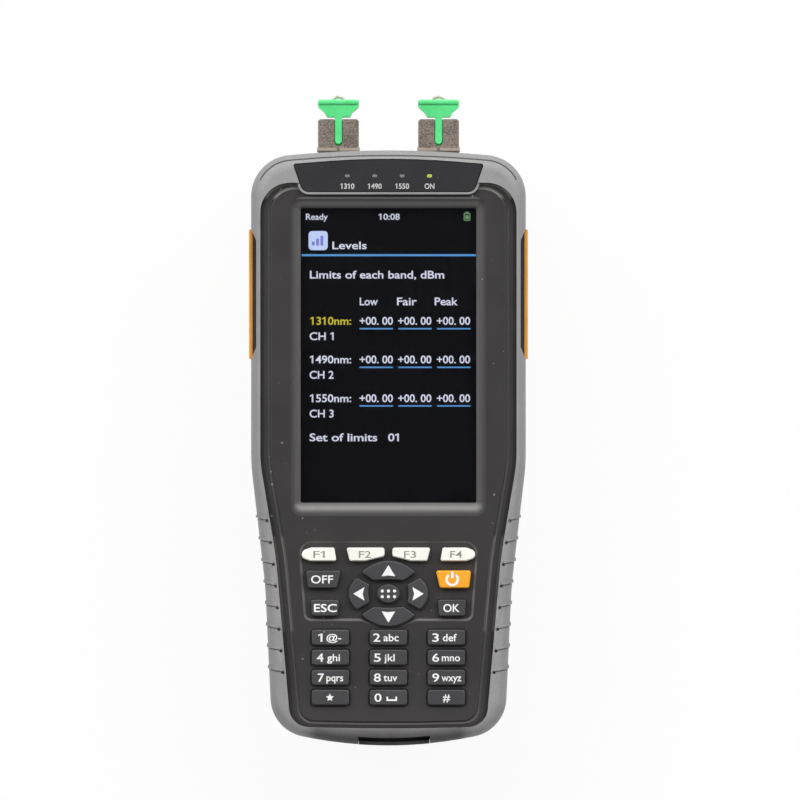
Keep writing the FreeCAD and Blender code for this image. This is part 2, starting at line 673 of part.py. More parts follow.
def bumper_sleeve():
    """Rubber sleeve over the flanks, with a thin bar that frames the foot of the indicator plate."""
    body = prism(OUTER, SLEEVE_BACK_Z, SLEEVE_FRONT_Z)
    body = body.makeFillet(SLEEVE_FRONT_ROUND, flat_edges(body, SLEEVE_FRONT_Z))
    body = body.makeFillet(SLEEVE_BACK_ROUND, flat_edges(body, SLEEVE_BACK_Z))
    body = body.fuse(grip_ribs())
    frame = prism(grown(PLATE, FIT_GAP + PLATE_FRAME_WIDTH), PANEL_Z, PANEL_Z + PLATE_THICKNESS)
    cuts = [
        prism(grown(OUTER, -SLEEVE_WALL), SLEEVE_BACK_Z - CUT_MARGIN, LIP_UNDERSIDE_Z),
        prism(PANEL, SLEEVE_BACK_Z, SLEEVE_FRONT_Z + CUT_MARGIN).cut(frame),
        prism(grown(PLATE, FIT_GAP), PANEL_Z, SLEEVE_FRONT_Z + CUT_MARGIN),
        top_crease(),
        cover_notch(),
        port_opening(FIT_GAP),
        side_notch(1),
        side_notch(-1),
    ]
    slits = rib_slits()
    cuts += slits + slit_pits(slits)
    cuts += indicator_bars(FIT_GAP, LIP_UNDERSIDE_Z - CUT_MARGIN, SLEEVE_FRONT_Z)
    return body.cut(cuts).removeSplitter()


def side_land(side):
    """Raised land on the cover that carries the orange strip."""
    half = PAD_LENGTH / 2 - LAND_SHORTER_BY
    low, high = sorted((side * (UPPER_HALF - COVER_INSET - COVER_WALL / 2), side * LAND_FACE_X))
    return block((low, high), (PAD_MIDDLE_Y - half, PAD_MIDDLE_Y + half), (PAD_Z_LOW, PAD_Z_HIGH))


def side_pad(side):
    half = PAD_LENGTH / 2
    low, high = sorted((side * LAND_FACE_X, side * (LAND_FACE_X + PAD_THICKNESS)))
    pad = block((low, high), (PAD_MIDDLE_Y - half, PAD_MIDDLE_Y + half), (PAD_Z_LOW, PAD_Z_HIGH))
    face = high if side > 0 else low
    rim = [e for e in pad.Edges if max(abs(v.X - face) for v in e.Vertexes) < 1e-6]
    return pad.makeFillet(PAD_EDGE_ROUND, rim)


def bezel_line(share, z):
    """Outline of the bezel, from the edge of the screen at share 0 out to the face of the panel at 1."""
    def between(screen, face):
        return screen + (face - screen) * share

    return rounded_wire(rectangle(
        between(SCREEN_WIDTH, BEZEL_WIDTH),
        between(SCREEN_LENGTH, BEZEL_LENGTH),
        between(SCREEN_CORNER_RADIUS, BEZEL_CORNER_RADIUS),
        0, between(SCREEN_MIDDLE_Y, BEZEL_MIDDLE_Y),
    ), z)


def bezel_cut():
    """Mouth that rolls over from the face of the panel and slopes down to the window."""
    return Part.makeLoft([
        bezel_line(0.0, FACE_INNER_Z),
        bezel_line(1 - BEZEL_ROLL_SHARE, PANEL_Z - BEZEL_ROLL_DROP),
        bezel_line(1.0, PANEL_Z),
    ], True, False)


def panel_groove():
    """Fine V-groove that follows the border of the panel."""
    def wedge(direction):
        reach = direction * PANEL_GROOVE_HALF_WIDTH
        wires = []
        for share, z in ((RUNNING_GAP, PANEL_Z - PANEL_GROOVE_DEPTH), (2.0, PANEL_Z + PANEL_GROOVE_DEPTH)):
            inset = reach * share
            wires.append(panel_outline(PANEL_GROOVE_SIDE_INSET + inset, PANEL_GROOVE_END_INSET + inset, z))
        return Part.makeLoft(wires, True, True)

    return wedge(-1).cut(wedge(1))


def key_mouth(wire):
    """Sloping edge round the opening of a key."""
    foot = grown(wire, KEY_GAP)
    foot.translate(V(0, 0, PANEL_Z - KEY_MOUTH_DEPTH))
    face = grown(wire, KEY_GAP + KEY_MOUTH_WIDTH)
    face.translate(V(0, 0, PANEL_Z))
    return Part.makeLoft([foot, face], True, True)


def pocket_line(inset, z):
    """Outline of the keypad pocket, dipping under the lowest cursor key."""
    top = LOWEST_ROW_Y + POCKET_TOP_ABOVE_LOWEST_ROW - inset
    bottom = LOWEST_ROW_Y + POCKET_BOTTOM_ABOVE_LOWEST_ROW + inset
    return rounded_wire(mirrored([
        (POCKET_TOP_HALF_WIDTH - inset, top, POCKET_TOP_RADIUS - inset),
        (POCKET_BOTTOM_HALF_WIDTH - inset, bottom, POCKET_BOTTOM_RADIUS - inset),
        (POCKET_DIP_HALF_WIDTH - inset / 4, bottom, POCKET_BOTTOM_RADIUS + inset),
        (0.0, bottom - POCKET_DIP_DEPTH, POCKET_DIP_RADIUS - inset),
    ]), z)


def pocket_cut():
    """Slope-sided pocket that the function and cursor keys stand in."""
    foot = pocket_line(POCKET_SLOPE_WIDTH, PANEL_Z - POCKET_DEPTH)
    return Part.makeLoft([foot, pocket_line(0.0, PANEL_Z)], True, True)


def socket_windows():
    """Holes in the bottom wall in front of the charging and data sockets."""
    depth = (BOTTOM_Y, BOTTOM_Y + SLEEVE_WALL + COVER_WALL + CUT_MARGIN)
    usb_low = BOARD_BACK_Z - SEAT_GAP - USB_HEIGHT
    usb = block(
        (USB_X - USB_WIDTH / 2 - KEY_GAP, USB_X + USB_WIDTH / 2 + KEY_GAP),
        depth,
        (usb_low - KEY_GAP, usb_low + USB_HEIGHT + KEY_GAP),
    )
    start = V(JACK_X, depth[0], jack_z())
    jack = rod(JACK_BORE_RADIUS + KEY_GAP, depth[1] - depth[0], start, V(0, 1, 0))
    return usb.fuse(jack)


def jack_z():
    return BOARD_BACK_Z - SEAT_GAP - JACK_HEIGHT / 2


def front_cover():
    shell = prism(grown(OUTER, -COVER_INSET), PARTING_Z, SHOULDER_Z)
    panel = prism(grown(PANEL, -FIT_GAP), PARTING_Z, PANEL_Z)
    panel = panel.makeChamfer(PANEL_EDGE_DROP, PANEL_EDGE_WIDTH, flat_edges(panel, PANEL_Z))
    body = shell.fuse([panel, side_land(1), side_land(-1)])
    body = body.cut([
        prism(grown(OUTER, -COVER_INSET - COVER_WALL), PARTING_Z - CUT_MARGIN, CAVITY_TOP_Z),
        prism(grown(PANEL, -FIT_GAP - COVER_WALL), PARTING_Z, FACE_INNER_Z),
    ])
    bosses = [rod(CASE_BOSS_RADIUS, PANEL_Z - PARTING_Z, V(x, y, PARTING_Z))
              for x, y in both_sides(CASE_BOSSES)]
    bosses += [rod(BOARD_BOSS_RADIUS, PANEL_Z - BOARD_FRONT_Z, V(x, y, BOARD_FRONT_Z))
               for x, y in both_sides(BOARD_BOSSES)]
    envelope = shell.fuse(panel)
    body = body.fuse([boss.common(envelope) for boss in bosses])
    cuts = [bezel_cut(), pocket_cut(), panel_groove(), port_opening(FIT_GAP), socket_windows()]
    cuts += [key_mouth(KEY_OUTLINES[name]) for name in number_key_outlines()]
    cuts += [prism(grown(wire, KEY_GAP), FACE_INNER_Z - CUT_MARGIN, PANEL_Z + CUT_MARGIN)
             for wire in KEY_OUTLINES.values()]
    cuts += indicator_bars(FIT_GAP, CAVITY_TOP_Z - CUT_MARGIN, PANEL_Z + CUT_MARGIN)
    cuts += [rod(CASE_SCREW_RADIUS + RUNNING_GAP, CASE_SCREW_LENGTH, V(x, y, PARTING_Z))
             for x, y in both_sides(CASE_BOSSES)]
    cuts += [rod(BOARD_SCREW_RADIUS + RUNNING_GAP, BOARD_SCREW_LENGTH, V(x, y, BOARD_FRONT_Z))
             for x, y in both_sides(BOARD_BOSSES)]
    return body.cut(cuts).removeSplitter()


def door_wire(margin=0.0):
    radius = max(DOOR_RADIUS + margin, DOOR_INNER_RADIUS)
    width, length = DOOR_WIDTH + 2 * margin, DOOR_LENGTH + 2 * margin
    return rounded_wire(rectangle(width, length, radius, 0, DOOR_MIDDLE_Y))


def door_screw_places():
    y = DOOR_MIDDLE_Y - DOOR_LENGTH / 2 + DOOR_LEDGE / 2
    return [(DOOR_SCREW_HALF_PITCH, y), (-DOOR_SCREW_HALF_PITCH, y)]


def hinge_lugs():
    """Two ears on the bottom wall that carry the pin of the port cover."""
    inner = KNUCKLE_WIDTH / 2 + LUG_SIDE_GAP
    wall = BOTTOM_Y + COVER_INSET + COVER_WALL / 2
    lugs = []
    for x in (COVER_MIDDLE_X + inner, COVER_MIDDLE_X - inner - LUG_WIDTH):
        ear = rod(KNUCKLE_RADIUS, LUG_WIDTH, V(x, PIN_Y, HINGE_Z), V(1, 0, 0))
        height = (HINGE_Z - KNUCKLE_RADIUS, HINGE_Z + KNUCKLE_RADIUS)
        root = block((x, x + LUG_WIDTH), (PIN_Y, wall), height)
        lugs.append(ear.fuse(root))
    return lugs


def pin_rod(gap=0.0):
    """Pin of the port cover from lug to lug, or with a gap the bore that it lies in."""
    half = KNUCKLE_WIDTH / 2 + LUG_SIDE_GAP + LUG_WIDTH
    start = V(COVER_MIDDLE_X - half - gap, PIN_Y, HINGE_Z)
    return rod(PIN_RADIUS + gap, 2 * (half + gap), start, V(1, 0, 0))


def rear_cover():
    body = prism(grown(OUTER, -COVER_INSET), 0, PARTING_Z)
    body = body.makeFillet(REAR_ROUND, flat_edges(body, 0))
    cavity = prism(grown(OUTER, -COVER_INSET - COVER_WALL), REAR_WALL, PARTING_Z + CUT_MARGIN)
    cavity = cavity.makeFillet(REAR_ROUND - COVER_WALL, flat_edges(cavity, REAR_WALL))
    body = body.cut(cavity)
    ledge = prism(door_wire(COVER_WALL), REAR_WALL / 2, DOOR_INNER_Z + LEDGE_THICKNESS)
    envelope = prism(grown(OUTER, -COVER_INSET), 0, PARTING_Z)
    bosses = [rod(CASE_BOSS_RADIUS, PARTING_Z - REAR_WALL / 2, V(x, y, REAR_WALL / 2)).common(envelope)
              for x, y in both_sides(CASE_BOSSES)]
    body = body.fuse([ledge] + bosses + hinge_lugs())
    cuts = [
        prism(door_wire(FIT_GAP), -CUT_MARGIN, DOOR_INNER_Z),
        prism(door_wire(-DOOR_LEDGE), -CUT_MARGIN, DOOR_INNER_Z + LEDGE_THICKNESS + CUT_MARGIN),
        seal_ring(RUNNING_GAP),
        pin_rod(RUNNING_GAP),
    ]
    for x, y in both_sides(CASE_BOSSES):
        cuts.append(rod(CASE_SCREW_RADIUS + FIT_GAP, PARTING_Z, V(x, y, 0)))
        cuts.append(rod(CASE_SCREW_HEAD_RADIUS + FIT_GAP, CASE_SCREW_SINK, V(x, y, 0)))
    cuts += [rod(DOOR_SCREW_RADIUS + RUNNING_GAP, LEDGE_THICKNESS + CUT_MARGIN, V(x, y, DOOR_INNER_Z))
             for x, y in door_screw_places()]
    return body.cut(cuts).removeSplitter()


def seal_ring(gap=0.0):
    """Cord of the case seal, or with a gap the groove that it lies in."""
    outer = grown(OUTER, -COVER_INSET - SEAL_INSET + gap)
    inner = grown(OUTER, -COVER_INSET - SEAL_INSET - SEAL_WIDTH - gap)
    low = PARTING_Z - SEAL_HEIGHT
    top = PARTING_Z + (CUT_MARGIN if gap else 0)
    return prism(outer, low, top).cut(prism(inner, low - CUT_MARGIN, top + CUT_MARGIN))


def battery_door():
    door = prism(door_wire(), DOOR_SINK, DOOR_INNER_Z)
    notch_y = DOOR_MIDDLE_Y + DOOR_LENGTH / 2 - DOOR_LEDGE
    notch = prism(
        rounded_wire(rectangle(FINGER_NOTCH_WIDTH, DOOR_LEDGE, DOOR_LEDGE * 0.45, 0, notch_y)),
        DOOR_SINK - CUT_MARGIN, DOOR_SINK + FINGER_NOTCH_DEPTH,
    )
    cuts = [notch]
    for x, y in door_screw_places():
        cuts.append(rod(DOOR_SCREW_RADIUS + FIT_GAP, DOOR_INNER_Z, V(x, y, 0)))
        cuts.append(rod(DOOR_SCREW_HEAD_RADIUS + FIT_GAP, DOOR_SCREW_HEAD_HEIGHT, V(x, y, DOOR_SINK)))
    return door.cut(cuts)


def screw(x, y, seat_z, head_radius, head_height, radius, length):
    """Pan-head screw driven upwards: its head is seated at seat_z and its shank points along +Z."""
    head = rod(head_radius, head_height, V(x, y, seat_z - head_height))
    head = head.makeChamfer(head_height * 0.3, flat_edges(head, seat_z - head_height))
    return head.fuse(rod(radius, length, V(x, y, seat_z)))


def case_screws():
    return [screw(x, y, CASE_SCREW_SINK, CASE_SCREW_HEAD_RADIUS, CASE_SCREW_HEAD_HEIGHT,
                  CASE_SCREW_RADIUS, CASE_SCREW_LENGTH) for x, y in both_sides(CASE_BOSSES)]


def board_screws():
    return [screw(x, y, BOARD_BACK_Z, BOARD_SCREW_HEAD_RADIUS, BOARD_SCREW_HEAD_HEIGHT,
                  BOARD_SCREW_RADIUS, BOARD_SCREW_LENGTH) for x, y in both_sides(BOARD_BOSSES)]


def battery_door_screws():
    return [screw(x, y, DOOR_SINK + DOOR_SCREW_HEAD_HEIGHT, DOOR_SCREW_HEAD_RADIUS, DOOR_SCREW_HEAD_HEIGHT,
                  DOOR_SCREW_RADIUS, DOOR_SCREW_LENGTH) for x, y in door_screw_places()]


def battery_pack():
    margin = -DOOR_LEDGE - BATTERY_GAP
    low = DOOR_INNER_Z + SEAT_GAP
    return prism(door_wire(margin), low, low + BATTERY_HEIGHT)


def indicator_panel():
    plate = prism(PLATE, PANEL_Z, PANEL_Z + PLATE_THICKNESS)
    plate = plate.makeChamfer(PLATE_THICKNESS * 0.3, flat_edges(plate, PANEL_Z + PLATE_THICKNESS))
    return plate.cut(indicator_bars(FIT_GAP, PANEL_Z - CUT_MARGIN, PANEL_Z + PLATE_THICKNESS + CUT_MARGIN))


def indicator_light_pipes():
    return indicator_bars(0.0, BOARD_FRONT_Z + SEAT_GAP, PANEL_Z + PLATE_THICKNESS)


def screen_size(margin, radius):
    """Outline of the screen grown by a margin all round."""
    width, length = SCREEN_WIDTH + 2 * margin, SCREEN_LENGTH + 2 * margin
    return rounded_wire(rectangle(width, length, radius, 0, SCREEN_MIDDLE_Y))


def screen_window():
    return prism(screen_size(WINDOW_MARGIN, WINDOW_MARGIN), WINDOW_BACK_Z, FACE_INNER_Z)


def screen_gasket():
    ring = prism(screen_size(GASKET_WIDTH, GASKET_WIDTH), LCD_FRONT_Z, WINDOW_BACK_Z)
    opening = screen_size(0.0, SCREEN_CORNER_RADIUS)
    return ring.cut(prism(opening, LCD_FRONT_Z - CUT_MARGIN, WINDOW_BACK_Z + CUT_MARGIN))


def lcd_module():
    return prism(screen_size(LCD_MARGIN, LCD_MARGIN / 2), LCD_BACK_Z, LCD_FRONT_Z)


def main_board():
    board = rounded_wire(mirrored([
        (BOARD_HALF_WIDTH, TOP_Y - BOARD_TOP_MARGIN, 6.0),
        (BOARD_HALF_WIDTH, FUNCTION_Y + 10.2, 4.0),
        (BOARD_LOWER_HALF_WIDTH, FUNCTION_Y - 4.0, 4.0),
        (BOARD_LOWER_HALF_WIDTH, BOTTOM_Y + BOARD_BOTTOM_MARGIN, 2.0),
    ]))
    holes = [rod(BOARD_SCREW_RADIUS + FIT_GAP, BOARD_THICKNESS, V(x, y, BOARD_BACK_Z))
             for x, y in both_sides(BOARD_BOSSES)]
    return prism(board, BOARD_BACK_Z, BOARD_FRONT_Z).cut(holes)


def keypad_mat():
    """Silicone mat on the board, with a hollow dome under each key that folds when the key is pressed."""
    sheet = prism(rounded_wire(mirrored([
        (MAT_UPPER_HALF_WIDTH, FUNCTION_Y + 3.4, 1.5),
        (MAT_UPPER_HALF_WIDTH, FUNCTION_Y - 3.4, 1.5),
        (MAT_LOWER_HALF_WIDTH, FUNCTION_Y - 5.6, 1.5),
        (MAT_LOWER_HALF_WIDTH, LOWEST_ROW_Y - 3.2, 1.5),
    ])), BOARD_FRONT_Z, MAT_TOP_Z)
    rise = KEY_SEAT_Z - MAT_TOP_Z
    domes = [Part.makeCone(DOME_BASE_RADIUS, DOME_TOP_RADIUS, rise, V(*key_middle(name), MAT_TOP_Z))
             for name in KEY_OUTLINES]
    x, y = BOARD_BOSSES[2]
    holes = [rod(BOARD_BOSS_RADIUS + SEAT_GAP, MAT_THICKNESS, V(side * x, y, BOARD_FRONT_Z))
             for side in (1, -1)]
    return sheet.fuse(domes).cut(holes).removeSplitter()


def buzzer():
    x, y = NUMBER_PITCH_X / 2, LOWEST_ROW_Y + 3 * NUMBER_PITCH_Y
    return rod(BUZZER_RADIUS, BUZZER_HEIGHT, V(x, y, BOARD_BACK_Z - BUZZER_HEIGHT))


def port_tube(width, height, x, low, high):
    """Rectangular bar along Y about the axis of a fibre port."""
    return block((x - width / 2, x + width / 2), (low, high), (PORT_Z - height / 2, PORT_Z + height / 2))


def keyway(width, end_y, x, low_z, high_z):
    """Slot in the front wall of a port, from its mouth down to a round end."""
    straight = block((x - width / 2, x + width / 2), (end_y + width / 2, COLLAR_Y), (low_z, high_z))
    return straight.fuse(rod(width / 2, high_z - low_z, V(x, end_y + width / 2, low_z)))


def adapter_collar(x):
    """Sloping lip round the foot of a fibre port, outside the sleeve, split in line with the key slot."""
    foot = TOP_Y + FIT_GAP
    height = ADAPTER_HEIGHT + 2 * ADAPTER_COLLAR_PROUD
    lip = port_tube(ADAPTER_COLLAR_WIDTH, height, x, foot, foot + ADAPTER_COLLAR_LENGTH)
    high = foot + ADAPTER_COLLAR_LENGTH
    outer = [e for e in lip.Edges if abs(e.BoundBox.YMin - high) < 1e-6]
    lip = lip.makeChamfer(ADAPTER_COLLAR_PROUD, [e for e in outer if e.BoundBox.XLength > ADAPTER_WIDTH / 2])
    split = block(
        (x - ADAPTER_COLLAR_SPLIT / 2, x + ADAPTER_COLLAR_SPLIT / 2),
        (foot - CUT_MARGIN, high + CUT_MARGIN),
        (PORT_Z + ADAPTER_HEIGHT / 2, PORT_Z + height),
    )
    return lip.cut(split)


def sc_adapter(side):
    x = side * PORT_HALF_PITCH
    body = port_tube(ADAPTER_WIDTH, ADAPTER_HEIGHT, x, ADAPTER_INNER_Y, ADAPTER_MOUTH_Y)
    mouth = [e for e in body.Edges if abs(e.BoundBox.YMin - ADAPTER_MOUTH_Y) < 1e-6]
    body = body.makeChamfer(ADAPTER_EDGE, mouth)
    flange_y = TOP_Y - FLANGE_BELOW_TOP
    flange = port_tube(FLANGE_WIDTH, FLANGE_HEIGHT, x, flange_y - FLANGE_THICKNESS, flange_y)
    body = body.fuse([flange, adapter_collar(x)])
    front = PORT_Z + ADAPTER_HEIGHT / 2
    path = V(x, ADAPTER_INNER_Y, PORT_Z)
    seat = V(x, SLEEVE_TUBE_FOOT_Y, PORT_Z)
    return body.cut([
        port_tube(SOCKET_WIDTH, SOCKET_HEIGHT, x, SOCKET_FLOOR_Y, ADAPTER_MOUTH_Y + CUT_MARGIN),
        keyway(KEYWAY_WIDTH, ADAPTER_MOUTH_Y - KEYWAY_LENGTH, x, PORT_Z, front + CUT_MARGIN),
        rod(FERRULE_SLEEVE_RADIUS + RUNNING_GAP, SOCKET_DEPTH, seat, V(0, 1, 0)),
        rod(LIGHT_PATH_RADIUS, SOCKET_DEPTH, path, V(0, 1, 0)),
    ]).removeSplitter()


def ferrule_sleeve(side):
    foot = V(side * PORT_HALF_PITCH, SLEEVE_TUBE_FOOT_Y, PORT_Z)
    tube = rod(FERRULE_SLEEVE_RADIUS, FERRULE_SLEEVE_LENGTH, foot, V(0, 1, 0))
    return tube.cut(rod(FERRULE_RADIUS, FERRULE_SLEEVE_LENGTH, foot, V(0, 1, 0)))


def cap_web(x):
    """Flared grip of a dust cap, narrow above the port and as wide as the bar at its top."""
    foot, top = CAP_WEB_BOTTOM_WIDTH / 2, CAP_BAR_WIDTH / 2
    outline = rounded_wire(mirrored([
        (top, CAP_BAR_Y + CAP_BAR_THICKNESS / 2, 0.3),
        (top, CAP_BAR_Y - CAP_WEB_HEIGHT * 0.13, 1.2),
        (foot + 0.65, COLLAR_Y + CAP_WEB_HEIGHT * 0.36, 1.6),
        (foot, COLLAR_Y, 0.4),
    ]))
    web = prism(outline, PORT_Z - CAP_WEB_DEPTH / 2, PORT_Z + CAP_WEB_DEPTH / 2)
    web.translate(V(x, 0, 0))
    return web


def dust_cap(side):
    """Hollow plug with a key rib, joined by a narrow blade to a flared grip and a bar."""
    x = side * PORT_HALF_PITCH
    plug_width, plug_height = SOCKET_WIDTH - 2 * CAP_GAP, SOCKET_HEIGHT - 2 * CAP_GAP
    plug_end = ADAPTER_MOUTH_Y - CAP_INSERTION
    plug_top = ADAPTER_MOUTH_Y - CAP_GAP
    bar = port_tube(CAP_BAR_WIDTH, CAP_WEB_DEPTH + 2 * CAP_BAR_PROUD, x, CAP_BAR_Y, CAP_TOP_Y)
    bar = bar.makeFillet(CAP_BAR_ROUND, bar.Edges)
    plug = port_tube(plug_width, plug_height, x, plug_end, plug_top)
    hollow_width, hollow_height = plug_width - 2 * CAP_WALL, plug_height - 2 * CAP_WALL
    hollow = port_tube(hollow_width, hollow_height, x, plug_end, plug_end + CAP_HOLLOW_DEPTH)
    key_end = ADAPTER_MOUTH_Y - KEYWAY_LENGTH + CAP_KEY_END_GAP
    front = PORT_Z + CAP_WEB_DEPTH / 2
    rib = keyway(CAP_KEY_WIDTH, key_end, x, PORT_Z + plug_height / 2 - CAP_WALL, front)
    blade = block(
        (x - CAP_KEY_WIDTH / 2, x + CAP_KEY_WIDTH / 2),
        (plug_top - CAP_WALL, CAP_BAR_Y),
        (PORT_Z - plug_height / 2, front),
    )
    cap = bar.fuse([cap_web(x), plug.cut(hollow), rib, blade])
    return cap.cut(eye(x, RUNNING_GAP)).removeSplitter()


def eye(x, gap=0.0):
    """Arched wire eye standing in the bar of a dust cap, or with a gap its seat in the bar."""
    centre = V(x, CAP_TOP_Y + EYELET_PROUD - EYELET_WIRE_RADIUS - EYELET_ARCH_RADIUS, PORT_Z)
    span = EYELET_SPAN_DEG + (2 if gap else 0)
    wire = EYELET_WIRE_RADIUS + gap
    arch = Part.makeTorus(EYELET_ARCH_RADIUS, wire, V(0, 0, 0), V(0, 0, 1), -180, 180, span)
    arch.rotate(V(0, 0, 0), V(0, 0, 1), 90 - span / 2)
    arch.translate(centre)
    return arch


def cap_eyelet(side):
    """Wire eye on top of a dust cap, where a tether ties on."""
    return eye(side * PORT_HALF_PITCH)


def optical_head():
    """Block behind the ports that holds the splitter and the detectors."""
    length = (ADAPTER_INNER_Y - HEAD_LENGTH, ADAPTER_INNER_Y)
    height = (HEAD_BOTTOM_Z, BOARD_BACK_Z - SEAT_GAP)
    head = block((-HEAD_WIDTH / 2, HEAD_WIDTH / 2), length, height)
    return head.cut([can.copy() for can in detector_cans(RUNNING_GAP)])


def detector_cans(gap=0.0):
    start = ADAPTER_INNER_Y - DETECTOR_LENGTH - gap
    return [rod(DETECTOR_RADIUS + gap, DETECTOR_LENGTH + gap, V(x, start, PORT_Z), V(0, 1, 0))
            for x in (PORT_HALF_PITCH, -PORT_HALF_PITCH)]


def socket_mouth_y():
    """Where the bottom sockets end, just inside the curved end wall."""
    inset = COVER_INSET + COVER_WALL
    radius = crown_radius(BOTTOM_CROWN_RISE, BOTTOM_SHOULDER_DROP, LOWER_HALF) - inset
    reach = JACK_X + JACK_WIDTH / 2
    return BOTTOM_Y + inset + radius - math.sqrt(radius ** 2 - reach ** 2) + SEAT_GAP


def usb_socket():
    mouth = socket_mouth_y()
    top = BOARD_BACK_Z - SEAT_GAP
    x = (USB_X - USB_WIDTH / 2, USB_X + USB_WIDTH / 2)
    z = (top - USB_HEIGHT, top)
    shell = block(x, (mouth, mouth + USB_LENGTH), z)
    room = block((x[0] + USB_SHELL, x[1] - USB_SHELL), (mouth, mouth + USB_LENGTH - USB_SHELL),
                 (z[0] + USB_SHELL, z[1] - USB_SHELL))
    middle = (z[0] + z[1]) / 2
    tongue = block((x[0] + 2, x[1] - 2), (mouth + 1, mouth + USB_LENGTH - USB_SHELL),
                   (middle - USB_TONGUE_THICKNESS / 2, middle + USB_TONGUE_THICKNESS / 2))
    return shell.cut(room).fuse(tongue).removeSplitter()


def charge_socket():
    mouth = socket_mouth_y()
    x = (JACK_X - JACK_WIDTH / 2, JACK_X + JACK_WIDTH / 2)
    top = BOARD_BACK_Z - SEAT_GAP
    body = block(x, (mouth, mouth + JACK_LENGTH), (top - JACK_HEIGHT, top))
    start = V(JACK_X, mouth, jack_z())
    bore = rod(JACK_BORE_RADIUS, JACK_DEPTH, start, V(0, 1, 0))
    pin = rod(JACK_PIN_RADIUS, JACK_DEPTH, start, V(0, 1, 0))
    return body.cut(bore).fuse(pin).removeSplitter()


def port_cover():
    """Rubber flap over the bottom sockets, curved like the sleeve, with a finger groove behind its lip."""
    half = COVER_WIDTH / 2
    wall = grown(OUTER, COVER_WALL_GAP - SLEEVE_WALL)
    high = COVER_TOP_Z + CUT_MARGIN
    skin = prism(OUTER, COVER_FOOT_Z, COVER_TOP_Z).cut([
        prism(wall, COVER_FOOT_Z - CUT_MARGIN, high),
        prism(grown(OUTER, -COVER_LIP_THICKNESS), COVER_TOP_Z - COVER_LIP_HEIGHT, high),
    ])
    reach = (BOTTOM_Y - CUT_MARGIN, BOTTOM_Y + 2 * SLEEVE_WALL)
    width = (COVER_MIDDLE_X - half, COVER_MIDDLE_X + half)
    flap = skin.common(block(width, reach, (COVER_FOOT_Z, COVER_TOP_Z)))
    start = V(COVER_MIDDLE_X - KNUCKLE_WIDTH / 2, PIN_Y, HINGE_Z)
    knuckle = rod(KNUCKLE_RADIUS, KNUCKLE_WIDTH, start, V(1, 0, 0))
    web = block(
        (start.x, start.x + KNUCKLE_WIDTH),
        (PIN_Y - KNUCKLE_RADIUS, PIN_Y + KNUCKLE_RADIUS * 0.6),
        (HINGE_Z, COVER_FOOT_Z + CUT_MARGIN),
    )
    bore = rod(PIN_RADIUS + RUNNING_GAP, KNUCKLE_WIDTH, start, V(1, 0, 0))
    return flap.fuse([knuckle, web]).cut(bore).removeSplitter()


def port_cover_pin():
    return pin_rod()


def parts():
    """Every sub-part by name, as a shape or a list of separate solids."""
    made = {
        "front_cover": front_cover(),
        "rear_cover": rear_cover(),
        "bumper_sleeve": bumper_sleeve(),
        "left_side_pad": side_pad(-1),
        "right_side_pad": side_pad(1),
        "indicator_panel": indicator_panel(),
        "indicator_light_pipes": indicator_light_pipes(),
        "screen_window": screen_window(),
        "screen_gasket": screen_gasket(),
        "lcd_module": lcd_module(),
        "keypad_mat": keypad_mat(),
        "main_board": main_board(),
        "board_screws": board_screws(),
        "battery_pack": battery_pack(),
        "battery_door": battery_door(),
        "battery_door_screws": battery_door_screws(),
        "case_screws": case_screws(),
        "case_seal": seal_ring(),
        "optical_head": optical_head(),
        "photodetectors": detector_cans(),
        "usb_socket": usb_socket(),
        "charge_socket": charge_socket(),
        "buzzer": buzzer(),
        "port_cover": port_cover(),
        "port_cover_pin": port_cover_pin(),
    }
    for side, word in ((-1, "left"), (1, "right")):
        made["sc_adapter_" + word] = sc_adapter(side)
        made["ferrule_sleeve_" + word] = ferrule_sleeve(side)
        made["dust_cap_" + word] = dust_cap(side)
        made["cap_eyelet_" + word] = cap_eyelet(side)
    for name in KEY_OUTLINES:
        made[name] = key(name)
    return made


def main():
    os.makedirs("parts", exist_ok=True)
    for name, shape in parts().items():
        solids = shape if isinstance(shape, list) else [shape]
        whole = solids[0] if len(solids) == 1 else Part.makeCompound(solids)
        whole.exportStep(os.path.join("parts", name + ".step"))


if __name__ == "__main__":
    main()
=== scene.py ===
# %% [markdown]
# # A handheld optical power meter
# A fibre tester lies on its back: a dark plastic case in a grey rubber sleeve, a tall screen, a keypad
# and two capped fibre ports. The solid model gives every shape and every joint. This lesson adds what a
# solid cannot have: finishes, printed legends, a lit screen and the small cross slots of the screws. The
# frame is loaded first, because every later step takes its places from the solids.

# %% Load the solid model
import json
import math

import bmesh
import bpy
from mathutils import Matrix, Vector


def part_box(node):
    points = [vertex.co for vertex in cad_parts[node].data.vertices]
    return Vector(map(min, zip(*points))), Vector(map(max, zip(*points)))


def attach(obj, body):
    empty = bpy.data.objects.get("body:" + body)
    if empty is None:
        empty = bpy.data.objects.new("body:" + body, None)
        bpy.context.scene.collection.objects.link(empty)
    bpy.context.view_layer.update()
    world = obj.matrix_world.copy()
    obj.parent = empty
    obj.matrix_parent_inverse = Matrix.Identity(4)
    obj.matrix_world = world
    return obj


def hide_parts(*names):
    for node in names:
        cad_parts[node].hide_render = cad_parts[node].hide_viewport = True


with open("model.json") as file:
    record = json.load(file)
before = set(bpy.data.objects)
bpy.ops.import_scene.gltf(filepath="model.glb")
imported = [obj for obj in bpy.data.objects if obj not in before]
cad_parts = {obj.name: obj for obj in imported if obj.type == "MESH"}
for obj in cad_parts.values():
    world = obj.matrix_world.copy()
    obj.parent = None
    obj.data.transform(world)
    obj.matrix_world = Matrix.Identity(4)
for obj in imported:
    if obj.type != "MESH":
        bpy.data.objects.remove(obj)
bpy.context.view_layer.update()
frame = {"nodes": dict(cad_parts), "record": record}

MM = 0.001
nodes = frame["nodes"]


